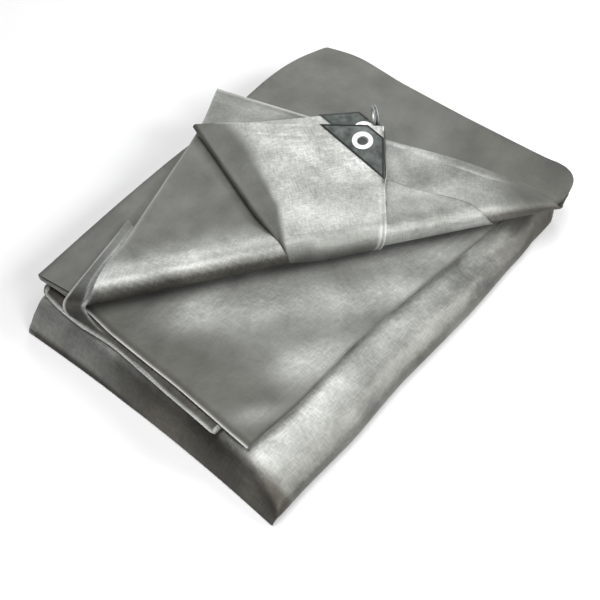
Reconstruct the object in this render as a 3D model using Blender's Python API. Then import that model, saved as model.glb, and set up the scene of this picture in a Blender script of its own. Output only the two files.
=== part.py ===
"""Folded tarp: a silver sheet folded back and forth into a flat bundle.

The top layers have one corner turned back over a fat diagonal bend, and a
doubled flap with the hemmed corners, their patches and eyelets lies on it.
Sizes are in millimetres; the bundle stands on z = 0, long side along X.
"""
import math

import bmesh
import bpy
import numpy as np

MM = 0.001

# Moves the bundle so that its box is centred on the origin.
CENTRE_X = 1.45
CENTRE_Y = -6.85

# Cloth: the thickness stands for several plies of thin sheet lying together.
CLOTH = 2.2
FOLD_CLOTH = 1.6
LEG = 9.0
FOLD_STEPS = 6

# Diagonal bend: direction along it, direction across it, and its axis.
ALONG = np.array([0.820, -0.572])
ACROSS = np.array([0.572, 0.820])
AXIS_ACROSS = -31.6
AXIS_LEVEL = 70.0
BEND_STEPS = 8
SETTLE_RUN = 60.0

# The bend flattens toward its right end: places along it, share of its height.
FLAT_TOP = 62.0
FLATTEN = [(110.0, 1.0), (180.0, 0.92), (240.0, 0.74), (290.0, 0.55)]

# Corner hardware.
PATCH = 2.2
GAP = 0.3
EYELET_HOLE = 6.1
EYELET_BARREL = 6.9
EYELET_RIM = 12.2
EYELET_HALF = 2.2
EYELET_SEGMENTS = 28

# Levels of the middle of every flat layer, lowest first.
LEVEL = {
    "bottom": 1.1,
    "inner_1": 6.4,
    "inner_2": 11.7,
    "inner_3": 17.0,
    "inner_4": 22.3,
    "inner_5": 27.6,
    "inner_6": 32.9,
    "wrap_top": 38.9,
    "panel_3": 43.0,
    "panel_2": 46.6,
    "panel_1": 50.2,
    "flap": 53.5,
    "doubler": 55.3,
    "turned_lower": 56.7,
    "turned_upper": 60.3,
    "flap_under": 73.3,
}

# How far each turned layer sinks once it is clear of the bend.
SINK = {"turned_upper": 14.4, "turned_lower": 14.0, "doubler": 14.0, "flap": 8.3}

# Inner layers: x_left, x_right, y_front, y_back.
INNER = {
    "inner_1": (-236, 240, -172, 160),
    "inner_2": (-234, 241, -170, 164),
    "inner_3": (-232, 239, -165, 162),
    "inner_4": (-230, 242, -158, 166),
    "inner_5": (-226, 240, -148, 163),
    "inner_6": (-222, 241, -130, 165),
}

# Outlines of the wide layers: x, y of each corner, going round.
OUTLINE = {
    "panel_3": [(-244, 158), (-243, 60), (-249, -20), (-246, -92), (-90, -95),
                (110, -108), (238, -120), (250, -60), (250, 160), (240, 172), (-120, 170)],
    "panel_2": [(-236, 160), (-235, 70), (-241, -10), (-243, -84), (-90, -88),
                (110, -100), (240, -112), (254, -60), (254, 160), (242, 175), (-120, 173)],
    "panel_1": [(-227, 164), (-225, 106), (-228, 20), (-234, -60), (-240, -132),
                (-160, -136), (-86, -134), (24, -142), (110, -152), (236, -166),
                (257, -60), (257, 150), (243, 176), (-110, 176)],
    "turned_upper": [(-229, 176), (-224, 131), (-226, 40), (-218, -120), (-218, -230),
                     (-60, -222), (120, -208), (236, -195), (254, -190), (262, -181),
                     (265, -166), (264, -60), (263, 60), (262, 154), (259, 168), (251, 178),
                     (238, 184), (60, 187), (-100, 184)],
    "turned_lower": [(-231, 172), (-228, 131), (-234, 36), (-229, -90), (-226, -196),
                     (-232, -258), (-60, -247), (188, -224), (234, -200), (250, -192),
                     (259, -181), (261, -164), (260, -60), (259, 60), (258, 150), (255, 164),
                     (247, 174), (234, 181), (60, 184), (-100, 181)],
}

# The flap seen flat: along the bend, and forward of the bend axis.
FLAP_TUCK = -39.0
FLAP_BEND = 51.8
FLAP_CORNER = (123.66, 187.66)
FLAP_HEM = [(36.9, 212.8), (12.3, 221.7), (-11.6, 232.6), (-35.5, 243.5), (-60.0, 252.4)]
FLAP_TIP = (-83.1, 259.1)
FLAP_TOP_WAY = (-0.9606, 0.2783)
FLAP_RIGHT_WAY = (-0.283, -0.959)
FLAP_RIGHT_SLOPE = 0.295
FLAP_LEFT_SLOPE = 0.236

# The flap's hemmed corner rises: the rise starts this far from its top hem.
LIFT_FROM = 80.0
LIFT_SOFT = 6.0
LIFT_SLOPE = 0.1727
LIFT_START = -60.0
LIFT_SPREAD = 100.0

# The ridge across the flap: along, across, height above the rest.
RIDGE = [(-4, 152), (-22, 84), (-24, 10), (-30, -26)]
RIDGE_HEIGHT = 3.6
RIDGE_RIGHT = 62.0

# Lower flap, its patch corner left off: along, across of each corner.
FLAP_UNDER = [(-80, 165), (-38, 163), (27, 161), (61.5, 158.7), (105.5, 71.8),
              (96, 33), (-49, 33)]

# Doubled strip of cloth that shows beside the flap: along the bend, forward.
DOUBLER = [(84, 16), (190, 16), (143, 68), (112.5, 106), (106, 97)]
DOUBLER_CLOTH = 1.4

# Lower patch: along, across of each corner, and its eyelet.
PATCH_UNDER = [(62.0, 158.6), (109.5, 151.2), (116, 137), (119.5, 124), (116, 104), (106.4, 71.2)]
EYELET_UNDER = (106.4, 121.7)

# Patches: length of the leg on the top hem and on the right hem.
PATCH_TOP_LEG = 74.0
PATCH_RIGHT_LEG = 73.5
PATCH_TOP_START = 5.5
PATCH_RIGHT_START = 13.5
EYELET_ALONG_TOP = 24.6
EYELET_ALONG_RIGHT = 22.0

# Upright edge beside the flap: along, across, low level, high level, lean.
LEAN_LEVEL = 78.0
UPRIGHT = [(113.9, 69.5, 69.7, 86.0, -0.15), (111.8, 60, 69.7, 85.0, -0.10),
           (104.9, 35, 70.0, 81.0, 0.0), (101.0, 27, 70.5, 80.0, 0.0), (94.5, 2, 75.2, 80.5, 0.0)]

# Upright patch: the same columns, its last rows flat where the eyelet sits.
UPRIGHT_PATCH = [(114.6, 70.0, 71.6, 84.6, -0.151), (120.4, 90.0, 71.4, 88.0, -0.151),
                 (124.3, 104.3, 71.4, 90.6, -0.151), (124.7, 108.8, 71.4, 90.9, -0.151),
                 (124.7, 112.4, 63.6, 91.1, -0.151), (124.4, 126.0, 63.6, 91.4, -0.151),
                 (122.93, 147.0, 63.6, 91.2, -0.151), (122.51, 153.0, 66.0, 88.0, -0.151)]
UPRIGHT_SLOPE = -0.070
UPRIGHT_LEAN = -0.151
UPRIGHT_EYELET = (123.6, 137.4, 77.8)

# Wrap: station x, cap on the height there, y of its back edge, front shift.
STATIONS = [
    (-268.0, 5.0, 160, 1.5),
    (-267.6, 9.0, 160, 1.0),
    (-266.0, 17.0, 161, 0.5),
    (-262.0, 28.0, 162, 0.0),
    (-254.0, 42.0, 163, 0.0),
    (-243.0, 60.0, 164, 0.0),
    (-228.0, 400.0, 165, 0.0),
    (-150.0, 400.0, 168, -1.0),
    (-60.0, 400.0, 170, 1.5),
    (60.0, 400.0, 172, 0.0),
    (160.0, 400.0, 172, 2.5),
    (232.0, 400.0, 172, 5.0),
    (250.0, 400.0, 166, 12.0),
]

# The wrap's left end bows in along its middle and slumps at its back corner.
END_START = -228.0
END_RUN = 40.0
END_BOW = 8.0
END_SLUMP = 15.0

# Wrap section, outer face: y, z, from its back edge under the bundle to the top.
SECTION = [
    (172, 0.0), (60, 0.0), (-60, 0.0), (-150, 0.0), (-176, 0.0), (-184, 2.6),
    (-188, 7.5), (-188.5, 13.5), (-185, 20.0), (-176, 26.0), (-163, 31.5), (-148, 36.0),
    (-130, 38.8), (-108, 39.8), (-60, 40.0), (60, 40.0), (172, 40.0),
]

COLOURS = {
    "tarp": (0.36, 0.37, 0.34, 1.0),
    "patch": (0.045, 0.055, 0.06, 1.0),
    "eyelet": (0.80, 0.81, 0.82, 1.0),
}


def clear_scene():
    for item in list(bpy.data.objects):
        bpy.data.objects.remove(item, do_unlink=True)


def material(name, colour, roughness, metallic):
    made = bpy.data.materials.new(name)
    made.use_nodes = True
    shader = made.node_tree.nodes["Principled BSDF"]
    shader.inputs["Base Color"].default_value = colour
    shader.inputs["Roughness"].default_value = roughness
    shader.inputs["Metallic"].default_value = metallic
    made.diffuse_color = colour
    return made


def put(name, mesh):
    """Link a bmesh to the scene as an object, its vertices turned to metres."""
    for vertex in mesh.verts:
        vertex.co.x += CENTRE_X
        vertex.co.y += CENTRE_Y
        vertex.co *= MM
    bmesh.ops.triangulate(mesh, faces=mesh.faces)
    bmesh.ops.recalc_face_normals(mesh, faces=mesh.faces)
    data = bpy.data.meshes.new(name)
    mesh.to_mesh(data)
    mesh.free()
    made = bpy.data.objects.new(name, data)
    bpy.context.scene.collection.objects.link(made)
    return made


def combine(target, tools, operation):
    """Apply one exact Boolean to the target and drop the tools."""
    group = bpy.data.collections.new("tools")
    for tool in tools:
        group.objects.link(tool)
    step = target.modifiers.new(operation, "BOOLEAN")
    step.operation = operation
    step.solver = "EXACT"
    step.operand_type = "COLLECTION"
    step.collection = group
    bpy.context.view_layer.update()
    graph = bpy.context.evaluated_depsgraph_get()
    result = bpy.data.meshes.new_from_object(target.evaluated_get(graph))
    target.modifiers.clear()
    old = target.data
    target.data = result
    bpy.data.meshes.remove(old)
    for tool in tools:
        bpy.data.objects.remove(tool, do_unlink=True)
    bpy.data.collections.remove(group)


def prism(points, low, high):
    """Closed solid over a flat outline, between two levels."""
    mesh = bmesh.new()
    base = [mesh.verts.new((x, y, low)) for x, y in points]
    lid = [mesh.verts.new((x, y, high)) for x, y in points]
    mesh.faces.new(base)
    mesh.faces.new(lid)
    count = len(points)
    for i in range(count):
        j = (i + 1) % count
        mesh.faces.new((base[i], base[j], lid[j], lid[i]))
    bmesh.ops.recalc_face_normals(mesh, faces=mesh.faces)
    return mesh


def layer(points, level, thick=CLOTH):
    return prism(points, level - thick / 2, level + thick / 2)


def to_plane(along, across):
    return ALONG * along + ACROSS * across


def cut_lines(mesh, direction, places):
    """Score a mesh along upright planes, so that it can bend there."""
    normal = (float(direction[0]), float(direction[1]), 0.0)
    for place in places:
        point = (float(direction[0] * place), float(direction[1] * place), 0.0)
        parts = list(mesh.verts) + list(mesh.edges) + list(mesh.faces)
        bmesh.ops.bisect_plane(mesh, geom=parts, plane_co=point, plane_no=normal, dist=1e-4)


def settle(run):
    share = min(max(run / SETTLE_RUN, 0.0), 1.0)
    return share * share * (3.0 - 2.0 * share)


def ridge_lift(along, across):
    """Height that the flap's ridge adds at a place."""
    spots = sorted(RIDGE, key=lambda row: row[1])
    middle = np.interp(across, [row[1] for row in spots], [row[0] for row in spots])
    left = np.interp(across, [-44.0, 175.7], [-32.0, -83.1])
    if along <= middle:
        share = (along - left) / max(middle - left, 1.0)
    else:
        share = 1.0 - (along - middle) / RIDGE_RIGHT
    share = min(max(share, 0.0), 1.0)
    return RIDGE_HEIGHT * share * share * (3.0 - 2.0 * share)


def corner_rise(along, across):
    """Height that the flap's hemmed corner gains at a place."""
    corner = np.array([FLAP_CORNER[0], AXIS_ACROSS + FLAP_CORNER[1] - FLAP_BEND])
    run = LIFT_FROM - float((np.array([along, across]) - corner) @ np.array(FLAP_RIGHT_WAY))
    if run < LIFT_SOFT:
        run = max(run + LIFT_SOFT, 0.0) ** 2 / (4.0 * LIFT_SOFT)
    share = min(max((along - LIFT_START) / LIFT_SPREAD, 0.0), 1.0)
    return LIFT_SLOPE * run * share * share * (3.0 - 2.0 * share)


def turn_back(mesh, name):
    """Carry everything in front of the bend axis up and over it."""
    radius = AXIS_LEVEL - LEVEL[name]
    arc = math.pi * radius
    for vertex in mesh.verts:
        place = np.array([vertex.co.x, vertex.co.y])
        along = float(place @ ALONG)
        ahead = AXIS_ACROSS - float(place @ ACROSS)
        if ahead <= 0.0:
            continue
        reach = AXIS_LEVEL - vertex.co.z
        if ahead < arc:
            angle = ahead / radius
            across = AXIS_ACROSS - reach * math.sin(angle)
            level = AXIS_LEVEL - reach * math.cos(angle)
        else:
            run = ahead - arc
            across = AXIS_ACROSS + run
            level = AXIS_LEVEL + reach - SINK[name] * settle(run)
        if name == "flap":
            level += ridge_lift(along, across) * min(max(2.0 * ahead / arc - 1.0, 0.0), 1.0)
            if ahead > arc:
                level += corner_rise(along, across)
        if level > FLAT_TOP:
            share = np.interp(along, [row[0] for row in FLATTEN], [row[1] for row in FLATTEN])
            level = FLAT_TOP + (level - FLAT_TOP) * float(share)
        place = to_plane(along, across)
        vertex.co = (place[0], place[1], level)


def bend_places(name):
    """Places across the bend where a layer is scored: the arc, then the slope."""
    arc = math.pi * (AXIS_LEVEL - LEVEL[name])
    places = [AXIS_ACROSS - arc * i / BEND_STEPS for i in range(BEND_STEPS + 1)]
    places += [AXIS_ACROSS - arc - run for run in (12, 24, 36, 48, 60)]
    return places


def fold(low, high, ends, outward):
    """Half-round fold between two layers along an edge given by its two ends."""
    radius = (high - low) / 2
    middle = (high + low) / 2
    half = FOLD_CLOTH / 2
    rows = []
    for side in (radius + half, radius - half):
        row = [(-LEG, middle - side)]
        for i in range(FOLD_STEPS + 1):
            angle = math.pi * i / FOLD_STEPS
            row.append((side * math.sin(angle), middle - side * math.cos(angle)))
        row.append((-LEG, middle + side))
        rows.append(row)
    ring = rows[0] + rows[1][::-1]
    mesh = bmesh.new()
    loops = []
    for end in ends:
        loop = []
        for out, level in ring:
            loop.append(mesh.verts.new((end[0] + outward[0] * out, end[1] + outward[1] * out, level)))
        loops.append(loop)
    count = len(ring)
    for i in range(count):
        j = (i + 1) % count
        mesh.faces.new((loops[0][i], loops[0][j], loops[1][j], loops[1][i]))
    half_count = count // 2
    for loop in loops:
        for i in range(half_count - 1):
            mesh.faces.new((loop[i], loop[i + 1], loop[count - 2 - i], loop[count - 1 - i]))
    bmesh.ops.recalc_face_normals(mesh, faces=mesh.faces)
    return mesh


def section_offset(points, distance):
    """Move an open section line to its inner side by a distance."""
    line = np.array(points, float)
    steps = np.diff(line, axis=0)
    steps /= np.linalg.norm(steps, axis=1)[:, None]
    normals = np.stack([steps[:, 1], -steps[:, 0]], axis=1)
    moved = []
    for i in range(len(line)):
        before = normals[max(i - 1, 0)]
        after = normals[min(i, len(normals) - 1)]
        mean = before + after
        mean /= np.linalg.norm(mean)
        moved.append(line[i] + mean * distance / max(float(mean @ after), 0.5))
    return np.array(moved)


def under_cap(height, cap):
    """Height held softly under a cap."""
    if height <= 0.0:
        return 0.0
    return (height ** -4 + cap ** -4) ** -0.25


def end_shift(x, y, z):
    """How far the wrap's left end comes in at a place."""
    weight = min(max((END_START - x) / END_RUN, 0.0), 1.0)
    middle = math.sin(math.pi * min(max((y + 188.0) / 352.0, 0.0), 1.0))
    slump = min(max((y - 20.0) / 140.0, 0.0), 1.0)
    return weight * (END_BOW * middle + END_SLUMP * slump * z / 40.0)


def pillow(inset):
    """Closed solid inside the wrap's outer face, set in by a distance."""
    line = np.array(SECTION, float)
    if inset > 0.0:
        line = section_offset(SECTION, inset)
    mesh = bmesh.new()
    loops = []
    for x, cap, back, shift in STATIONS:
        if inset > 0.0:
            cap = max(cap - 2 * inset, 1.0)
            back += 30.0
            x = x + inset if x < -200.0 else x
            x = x + 30.0 if x > 245.0 else x
        loop = []
        for y, z in line:
            y = y * back / 172.0 if y > 0.0 else y + shift
            z = inset + under_cap(z - inset, cap)
            loop.append(mesh.verts.new((x + end_shift(x, y, z), y, z)))
        loops.append(loop)
    count = len(line)
    for near, far in zip(loops, loops[1:]):
        for i in range(count):
            j = (i + 1) % count
            mesh.faces.new((near[i], near[j], far[j], far[i]))
    mesh.faces.new(loops[0])
    mesh.faces.new(loops[-1])
    bmesh.ops.recalc_face_normals(mesh, faces=mesh.faces)
    return mesh


def spot(along, across, level):
    place = to_plane(along, across)
    return np.array([place[0], place[1], level])


def upright_wall(rows, thick):
    """Standing strip along a line of places across the bend."""
    mesh = bmesh.new()
    loops = []
    for along, across, low, high, lean in rows:
        loop = []
        for side, level in ((-1, low), (1, low), (1, high), (-1, high)):
            place = along + side * thick / 2 - lean * (level - LEAN_LEVEL)
            loop.append(mesh.verts.new(spot(place, across, level)))
        loops.append(loop)
    for near, far in zip(loops, loops[1:]):
        for i in range(4):
            j = (i + 1) % 4
            mesh.faces.new((near[i], near[j], far[j], far[i]))
    mesh.faces.new(loops[0])
    mesh.faces.new(loops[-1])
    bmesh.ops.recalc_face_normals(mesh, faces=mesh.faces)
    return mesh


def flap_flat():
    """Outline of the flap before it is turned back, its patch corner left off."""
    corner = np.array(FLAP_CORNER)
    shift = GAP * 1.5
    patch_top = corner + np.array(FLAP_TOP_WAY) * (PATCH_TOP_LEG + shift)
    patch_low = corner + np.array(FLAP_RIGHT_WAY) * (PATCH_RIGHT_LEG + shift)
    ahead = FLAP_TUCK
    right_end = (corner[0] - FLAP_RIGHT_SLOPE * (corner[1] - ahead), ahead)
    left_end = (FLAP_TIP[0] + FLAP_LEFT_SLOPE * (FLAP_TIP[1] - ahead), ahead)
    return [left_end, right_end, tuple(patch_low), tuple(patch_top)] + FLAP_HEM + [FLAP_TIP]


def flat_place(along, ahead):
    return to_plane(along, AXIS_ACROSS - ahead)


def panels():
    """Every flat layer of the lower bundle and the panel stack."""
    made = []
    for name, (left, right, front, back) in INNER.items():
        points = [(left, front), (right, front), (right, back), (left, back)]
        made.append(layer(points, LEVEL[name]))
    for name in ("panel_3", "panel_2", "panel_1"):
        made.append(layer(OUTLINE[name], LEVEL[name]))
    return made


def turned():
    """The layers that the diagonal bend carries over, already bent."""
    made = []
    flap = [tuple(flat_place(along, ahead)) for along, ahead in flap_flat()]
    doubler = [tuple(flat_place(along, ahead)) for along, ahead in DOUBLER]
    shapes = (
        ("turned_upper", OUTLINE["turned_upper"], CLOTH),
        ("turned_lower", OUTLINE["turned_lower"], CLOTH),
        ("doubler", doubler, DOUBLER_CLOTH),
        ("flap", flap, CLOTH),
    )
    for name, points, thick in shapes:
        mesh = layer(points, LEVEL[name], thick)
        cut_lines(mesh, ACROSS, bend_places(name))
        if name == "flap":
            cut_lines(mesh, ACROSS, (-180, -140))
            cut_lines(mesh, ALONG, (-60, -40, -24, -6, 12, 38))
            way = ALONG * FLAP_RIGHT_WAY[0] - ACROSS * FLAP_RIGHT_WAY[1]
            start = float(flat_place(*FLAP_CORNER) @ way)
            rows = (LIFT_FROM - LIFT_SOFT, LIFT_FROM, LIFT_FROM + LIFT_SOFT)
            cut_lines(mesh, way, [start + row for row in rows])
        bmesh.ops.triangulate(mesh, faces=mesh.faces)
        turn_back(mesh, name)
        made.append(mesh)
    return made


def bends():
    """Half-round folds that join the layers into one run of cloth."""
    right = (1.0, 0.0)
    left = (-1.0, 0.0)
    front = (0.0, -1.0)
    back = (0.0, 1.0)
    flap_out = np.array([-1.0, -FLAP_LEFT_SLOPE])
    flap_out /= np.linalg.norm(flap_out)
    flap_out = ALONG * flap_out[0] + ACROSS * flap_out[1]
    rows = (
        ("bottom", "inner_1", ((238, -150), (238, 156)), right),
        ("inner_1", "inner_2", ((-232, -166), (-232, 156)), left),
        ("inner_2", "inner_3", ((237, -160), (237, 158)), right),
        ("inner_3", "inner_4", ((-228, -154), (-228, 158)), left),
        ("inner_4", "inner_5", ((238, -144), (238, 158)), right),
        ("inner_5", "inner_6", ((-220, -126), (-220, 158)), left),
        ("inner_6", "wrap_top", ((238, -92), (238, 158)), right),
        ("wrap_top", "panel_3", ((-225, 162), (236, 165)), back),
        ("panel_3", "panel_2", ((-238, -86), (230, -108)), front),
        ("panel_2", "panel_1", ((-222, 163), (238, 171)), back),
        ("panel_1", "turned_lower", ((253, -60), (253, 146)), right),
        ("turned_lower", "turned_upper", ((-100, 178), (236, 180)), back),
    )
    made = []
    for low, high, ends, outward in rows:
        made.append(fold(LEVEL[low], LEVEL[high], ends, outward))
    tuck = AXIS_ACROSS - FLAP_TUCK - 2.0
    ends = (to_plane(-9.0, tuck), to_plane(54.0, tuck))
    made.append(fold(LEVEL["flap"], LEVEL["turned_lower"], ends, ACROSS))
    ends = []
    for across in (44.0, 162.0):
        along = FLAP_TIP[0] + FLAP_LEFT_SLOPE * (175.7 - across)
        ends.append(to_plane(along + 3.0, across))
    flap_level = 2 * AXIS_LEVEL - LEVEL["flap"] - SINK["flap"]
    made.append(fold(LEVEL["flap_under"], flap_level, ends, flap_out))
    return made


def build_tarp():
    tarp = put("tarp", pillow(0.0))
    combine(tarp, [put("inside", pillow(CLOTH))], "DIFFERENCE")
    under = [tuple(to_plane(along, across)) for along, across in FLAP_UNDER]
    parts = panels() + turned() + [layer(under, LEVEL["flap_under"])] + bends()
    parts.append(upright_wall(UPRIGHT, CLOTH))
    combine(tarp, [put("piece", mesh) for mesh in parts], "UNION")
    return tarp


def plate(points, level):
    """Patch plate, still without its round hole."""
    return prism(points, level - PATCH / 2, level + PATCH / 2)


def eyelet(name, centre, axis):
    """Two-flanged ring, turned round its axis, clear of the patch by the gap."""
    lip = PATCH / 2 + GAP
    profile = [
        (EYELET_HOLE, -1.5), (EYELET_HOLE + 0.5, -EYELET_HALF), (10.4, -EYELET_HALF),
        (EYELET_RIM, -1.85), (EYELET_RIM, -lip), (EYELET_BARREL, -lip),
        (EYELET_BARREL, lip), (EYELET_RIM, lip), (EYELET_RIM, 1.85),
        (10.4, EYELET_HALF), (EYELET_HOLE + 0.5, EYELET_HALF), (EYELET_HOLE, 1.5),
    ]
    side = np.cross(axis, (0.3, 0.2, 0.9))
    side /= np.linalg.norm(side)
    other = np.cross(axis, side)
    mesh = bmesh.new()
    loops = []
    for i in range(EYELET_SEGMENTS):
        angle = 2 * math.pi * i / EYELET_SEGMENTS
        out = side * math.cos(angle) + other * math.sin(angle)
        loops.append([mesh.verts.new(centre + out * r + axis * h) for r, h in profile])
    for i, near in enumerate(loops):
        far = loops[(i + 1) % EYELET_SEGMENTS]
        for k in range(len(profile)):
            m = (k + 1) % len(profile)
            mesh.faces.new((near[k], near[m], far[m], far[k]))
    return put(name, mesh)


def drill(target, centre, axis):
    """Cut the eyelet's hole through a patch."""
    radius = EYELET_BARREL + GAP
    side = np.cross(axis, (0.3, 0.2, 0.9))
    side /= np.linalg.norm(side)
    other = np.cross(axis, side)
    mesh = bmesh.new()
    loops = []
    for end in (-6.0, 6.0):
        loop = []
        for i in range(EYELET_SEGMENTS):
            angle = 2 * math.pi * i / EYELET_SEGMENTS
            out = side * math.cos(angle) + other * math.sin(angle)
            loop.append(mesh.verts.new(centre + out * radius + axis * end))
        loops.append(loop)
    mesh.faces.new(loops[0])
    mesh.faces.new(loops[1])
    for i in range(EYELET_SEGMENTS):
        j = (i + 1) % EYELET_SEGMENTS
        mesh.faces.new((loops[0][i], loops[0][j], loops[1][j], loops[1][i]))
    combine(target, [put("drill", mesh)], "DIFFERENCE")


def upright_normal():
    """Direction square to the upright patch where its eyelet sits."""
    run = spot(UPRIGHT_SLOPE, 1.0, 0.0)
    rise = spot(-UPRIGHT_LEAN, 0.0, 1.0)
    normal = np.cross(run, rise)
    return normal / np.linalg.norm(normal)


def build_patches():
    """Three corner patches and the eyelets through them."""
    made = []

    level = 2 * AXIS_LEVEL - LEVEL["flap"] - SINK["flap"]
    corner = np.array([FLAP_CORNER[0], AXIS_ACROSS + FLAP_CORNER[1] - FLAP_BEND])
    top = np.array(FLAP_TOP_WAY)
    right = np.array(FLAP_RIGHT_WAY)
    outline = [corner + top * PATCH_TOP_START, corner + top * PATCH_TOP_LEG,
               corner + right * PATCH_RIGHT_LEG, corner + right * PATCH_RIGHT_START]
    mesh = plate([tuple(to_plane(*place)) for place in outline], level)
    for vertex in mesh.verts:
        place = np.array([vertex.co.x, vertex.co.y])
        vertex.co.z += corner_rise(float(place @ ALONG), float(place @ ACROSS))
    first = put("corner_patch_1", mesh)
    centre = corner + top * EYELET_ALONG_TOP + right * EYELET_ALONG_RIGHT
    first_spot = spot(centre[0], centre[1], level + corner_rise(*centre))
    slope = to_plane(*(right * LIFT_SLOPE))
    first_axis = np.array([slope[0], slope[1], 1.0])
    first_axis /= np.linalg.norm(first_axis)
    drill(first, first_spot, first_axis)
    made.append((first, eyelet("eyelet_1", first_spot, first_axis)))

    upward = np.array([0.0, 0.0, 1.0])
    level = LEVEL["flap_under"]
    second = put("corner_patch_2", plate([tuple(to_plane(*p)) for p in PATCH_UNDER], level))
    second_spot = spot(EYELET_UNDER[0], EYELET_UNDER[1], level)
    drill(second, second_spot, upward)
    made.append((second, eyelet("eyelet_2", second_spot, upward)))

    third = put("corner_patch_3", upright_wall(UPRIGHT_PATCH, PATCH))
    third_spot = spot(*UPRIGHT_EYELET)
    drill(third, third_spot, upright_normal())
    made.append((third, eyelet("eyelet_3", third_spot, upright_normal())))
    return made


def shade(item, finish, smooth):
    item.data.materials.clear()
    item.data.materials.append(finish)
    for face in item.data.polygons:
        face.use_smooth = smooth


def main():
    clear_scene()
    cloth = material("tarp cloth", COLOURS["tarp"], 0.45, 0.35)
    patch = material("dark patch", COLOURS["patch"], 0.4, 0.0)
    metal = material("eyelet metal", COLOURS["eyelet"], 0.3, 1.0)
    shade(build_tarp(), cloth, False)
    for plate_item, ring in build_patches():
        shade(plate_item, patch, False)
        shade(ring, metal, True)


main()
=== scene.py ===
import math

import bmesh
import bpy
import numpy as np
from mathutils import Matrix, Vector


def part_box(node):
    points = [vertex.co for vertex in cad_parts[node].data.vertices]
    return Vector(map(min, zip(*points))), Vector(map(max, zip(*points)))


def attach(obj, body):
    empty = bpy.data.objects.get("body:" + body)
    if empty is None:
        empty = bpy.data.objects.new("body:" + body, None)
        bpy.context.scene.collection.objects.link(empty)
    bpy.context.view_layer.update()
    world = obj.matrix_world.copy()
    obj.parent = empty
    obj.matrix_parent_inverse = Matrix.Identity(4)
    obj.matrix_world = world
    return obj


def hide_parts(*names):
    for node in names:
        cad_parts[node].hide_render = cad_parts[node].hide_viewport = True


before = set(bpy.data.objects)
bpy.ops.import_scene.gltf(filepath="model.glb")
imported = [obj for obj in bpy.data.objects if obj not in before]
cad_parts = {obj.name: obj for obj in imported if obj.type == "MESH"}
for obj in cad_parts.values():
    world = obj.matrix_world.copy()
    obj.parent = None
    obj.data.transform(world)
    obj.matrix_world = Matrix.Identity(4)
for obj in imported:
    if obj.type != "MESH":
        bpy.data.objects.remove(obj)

# %% [markdown]
# A folded tarp, dressed around its CAD solids. The real thing is one woven
# plastic sheet, coated silver and folded back and forth into a flat bundle.
# It could be made by a cloth simulation, or drawn layer by layer. The CAD
# solid already gives each layer a place, and the hidden ones are a guess, so
# each is drawn where it lies there. Lengths are millimetres on the bundle,
# and one scale turns them to metres at the end.

MM = 0.001
# Where the drawing's own zero lies from the CAD origin.
CENTRE = np.array([1.45, -6.85, 0.0])
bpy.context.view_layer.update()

# %% [markdown]
# The loader leaves the CAD nodes selected, and an operator acts on all that
# is selected. Each step could skip them by name, but deselecting everything
# once is simpler.

# %% Nothing selected
bpy.ops.object.select_all(action="DESELECT")

# %% [markdown]
# The folds and edges of real cloth run in slow curves. A curve object could
# hold each one, but a short row of points, smoothed as a cutter bends a
# batten, is easier to read and to change. A sheet between four such lines
# is a Coons patch: its grid follows every edge, so a hem can run along it.


# %% Smooth lines and patches
def smooth_line(points, picks):
    """Places along a smooth line through points, picked at shares of its length."""
    spots = np.array(points, float)
    steps = np.linalg.norm(np.diff(spots, axis=0), axis=1)
    at = np.concatenate([[0.0], np.cumsum(steps)]) / steps.sum()
    slope = np.gradient(spots, at, axis=0)
    picks = np.clip(picks, 0.0, 1.0)
    first = np.clip(np.searchsorted(at, picks, side="right") - 1, 0, len(spots) - 2)
    gap = (at[first + 1] - at[first])[:, None]
    t = (picks - at[first])[:, None] / gap
    start = (2 * t ** 3 - 3 * t ** 2 + 1) * spots[first]
    leave = (t ** 3 - 2 * t ** 2 + t) * gap * slope[first]
    end = (-2 * t ** 3 + 3 * t ** 2) * spots[first + 1]
    arrive = (t ** 3 - t ** 2) * gap * slope[first + 1]
    return start + leave + end + arrive


def sheet_grid(front, back, left, right, u, v):
    """Flat grid between four edge lines: u runs left to right, v front to back."""
    near = smooth_line(front, u)[:, None]
    far = smooth_line(back, u)[:, None]
    west = smooth_line(left, v)[None]
    east = smooth_line(right, v)[None]
    a = u[:, None, None]
    b = v[None, :, None]
    sides = (1 - b) * near + b * far + (1 - a) * west + a * east
    corners = ((1 - a) * (1 - b) * near[0, 0] + a * (1 - b) * near[-1, 0]
               + (1 - a) * b * far[0, 0] + a * b * far[-1, 0])
    return sides - corners


# Rows of a grid that are closer than this would give sliver faces.
ROW_CLEAR = 1.2


def shares(size, step, ends=()):
    """Shares from 0 to 1 a step apart, with closer rows at distances from both ends."""
    rows = list(np.linspace(0.0, size, max(int(round(size / step)), 2) + 1))
    for distance in ends:
        rows = [row for row in rows if min(abs(row - distance), abs(size - distance - row)) > ROW_CLEAR]
        rows += [distance, size - distance]
    return np.array(sorted(rows)) / size


print("smooth line middle", smooth_line([(0, 0), (50, 4), (100, 0)], np.array([0.5]))[0])

# %% [markdown]
# Most tones and heights on the cloth begin softly at one place and are full
# at another, or lie along a line and die away beside it. A texture could be
# painted for each. Two small functions say the same in numbers that can be
# read off the bundle with a ruler.


# %% Soft spans
def smooth_step(share):
    """Share that leaves 0 and reaches 1 gently."""
    share = np.clip(share, 0.0, 1.0)
    return share * share * (3.0 - 2.0 * share)


def span(value, none, full):
    """Smooth share: 0 where value is at none, 1 where it is at full."""
    return smooth_step((value - none) / (full - none))


def near(gap, width):
    """Share that is 1 on a line and dies away about a width beside it."""
    return np.exp(-(gap / width) ** 2)


print("halfway along a soft span", span(5.0, 0.0, 10.0))

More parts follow.
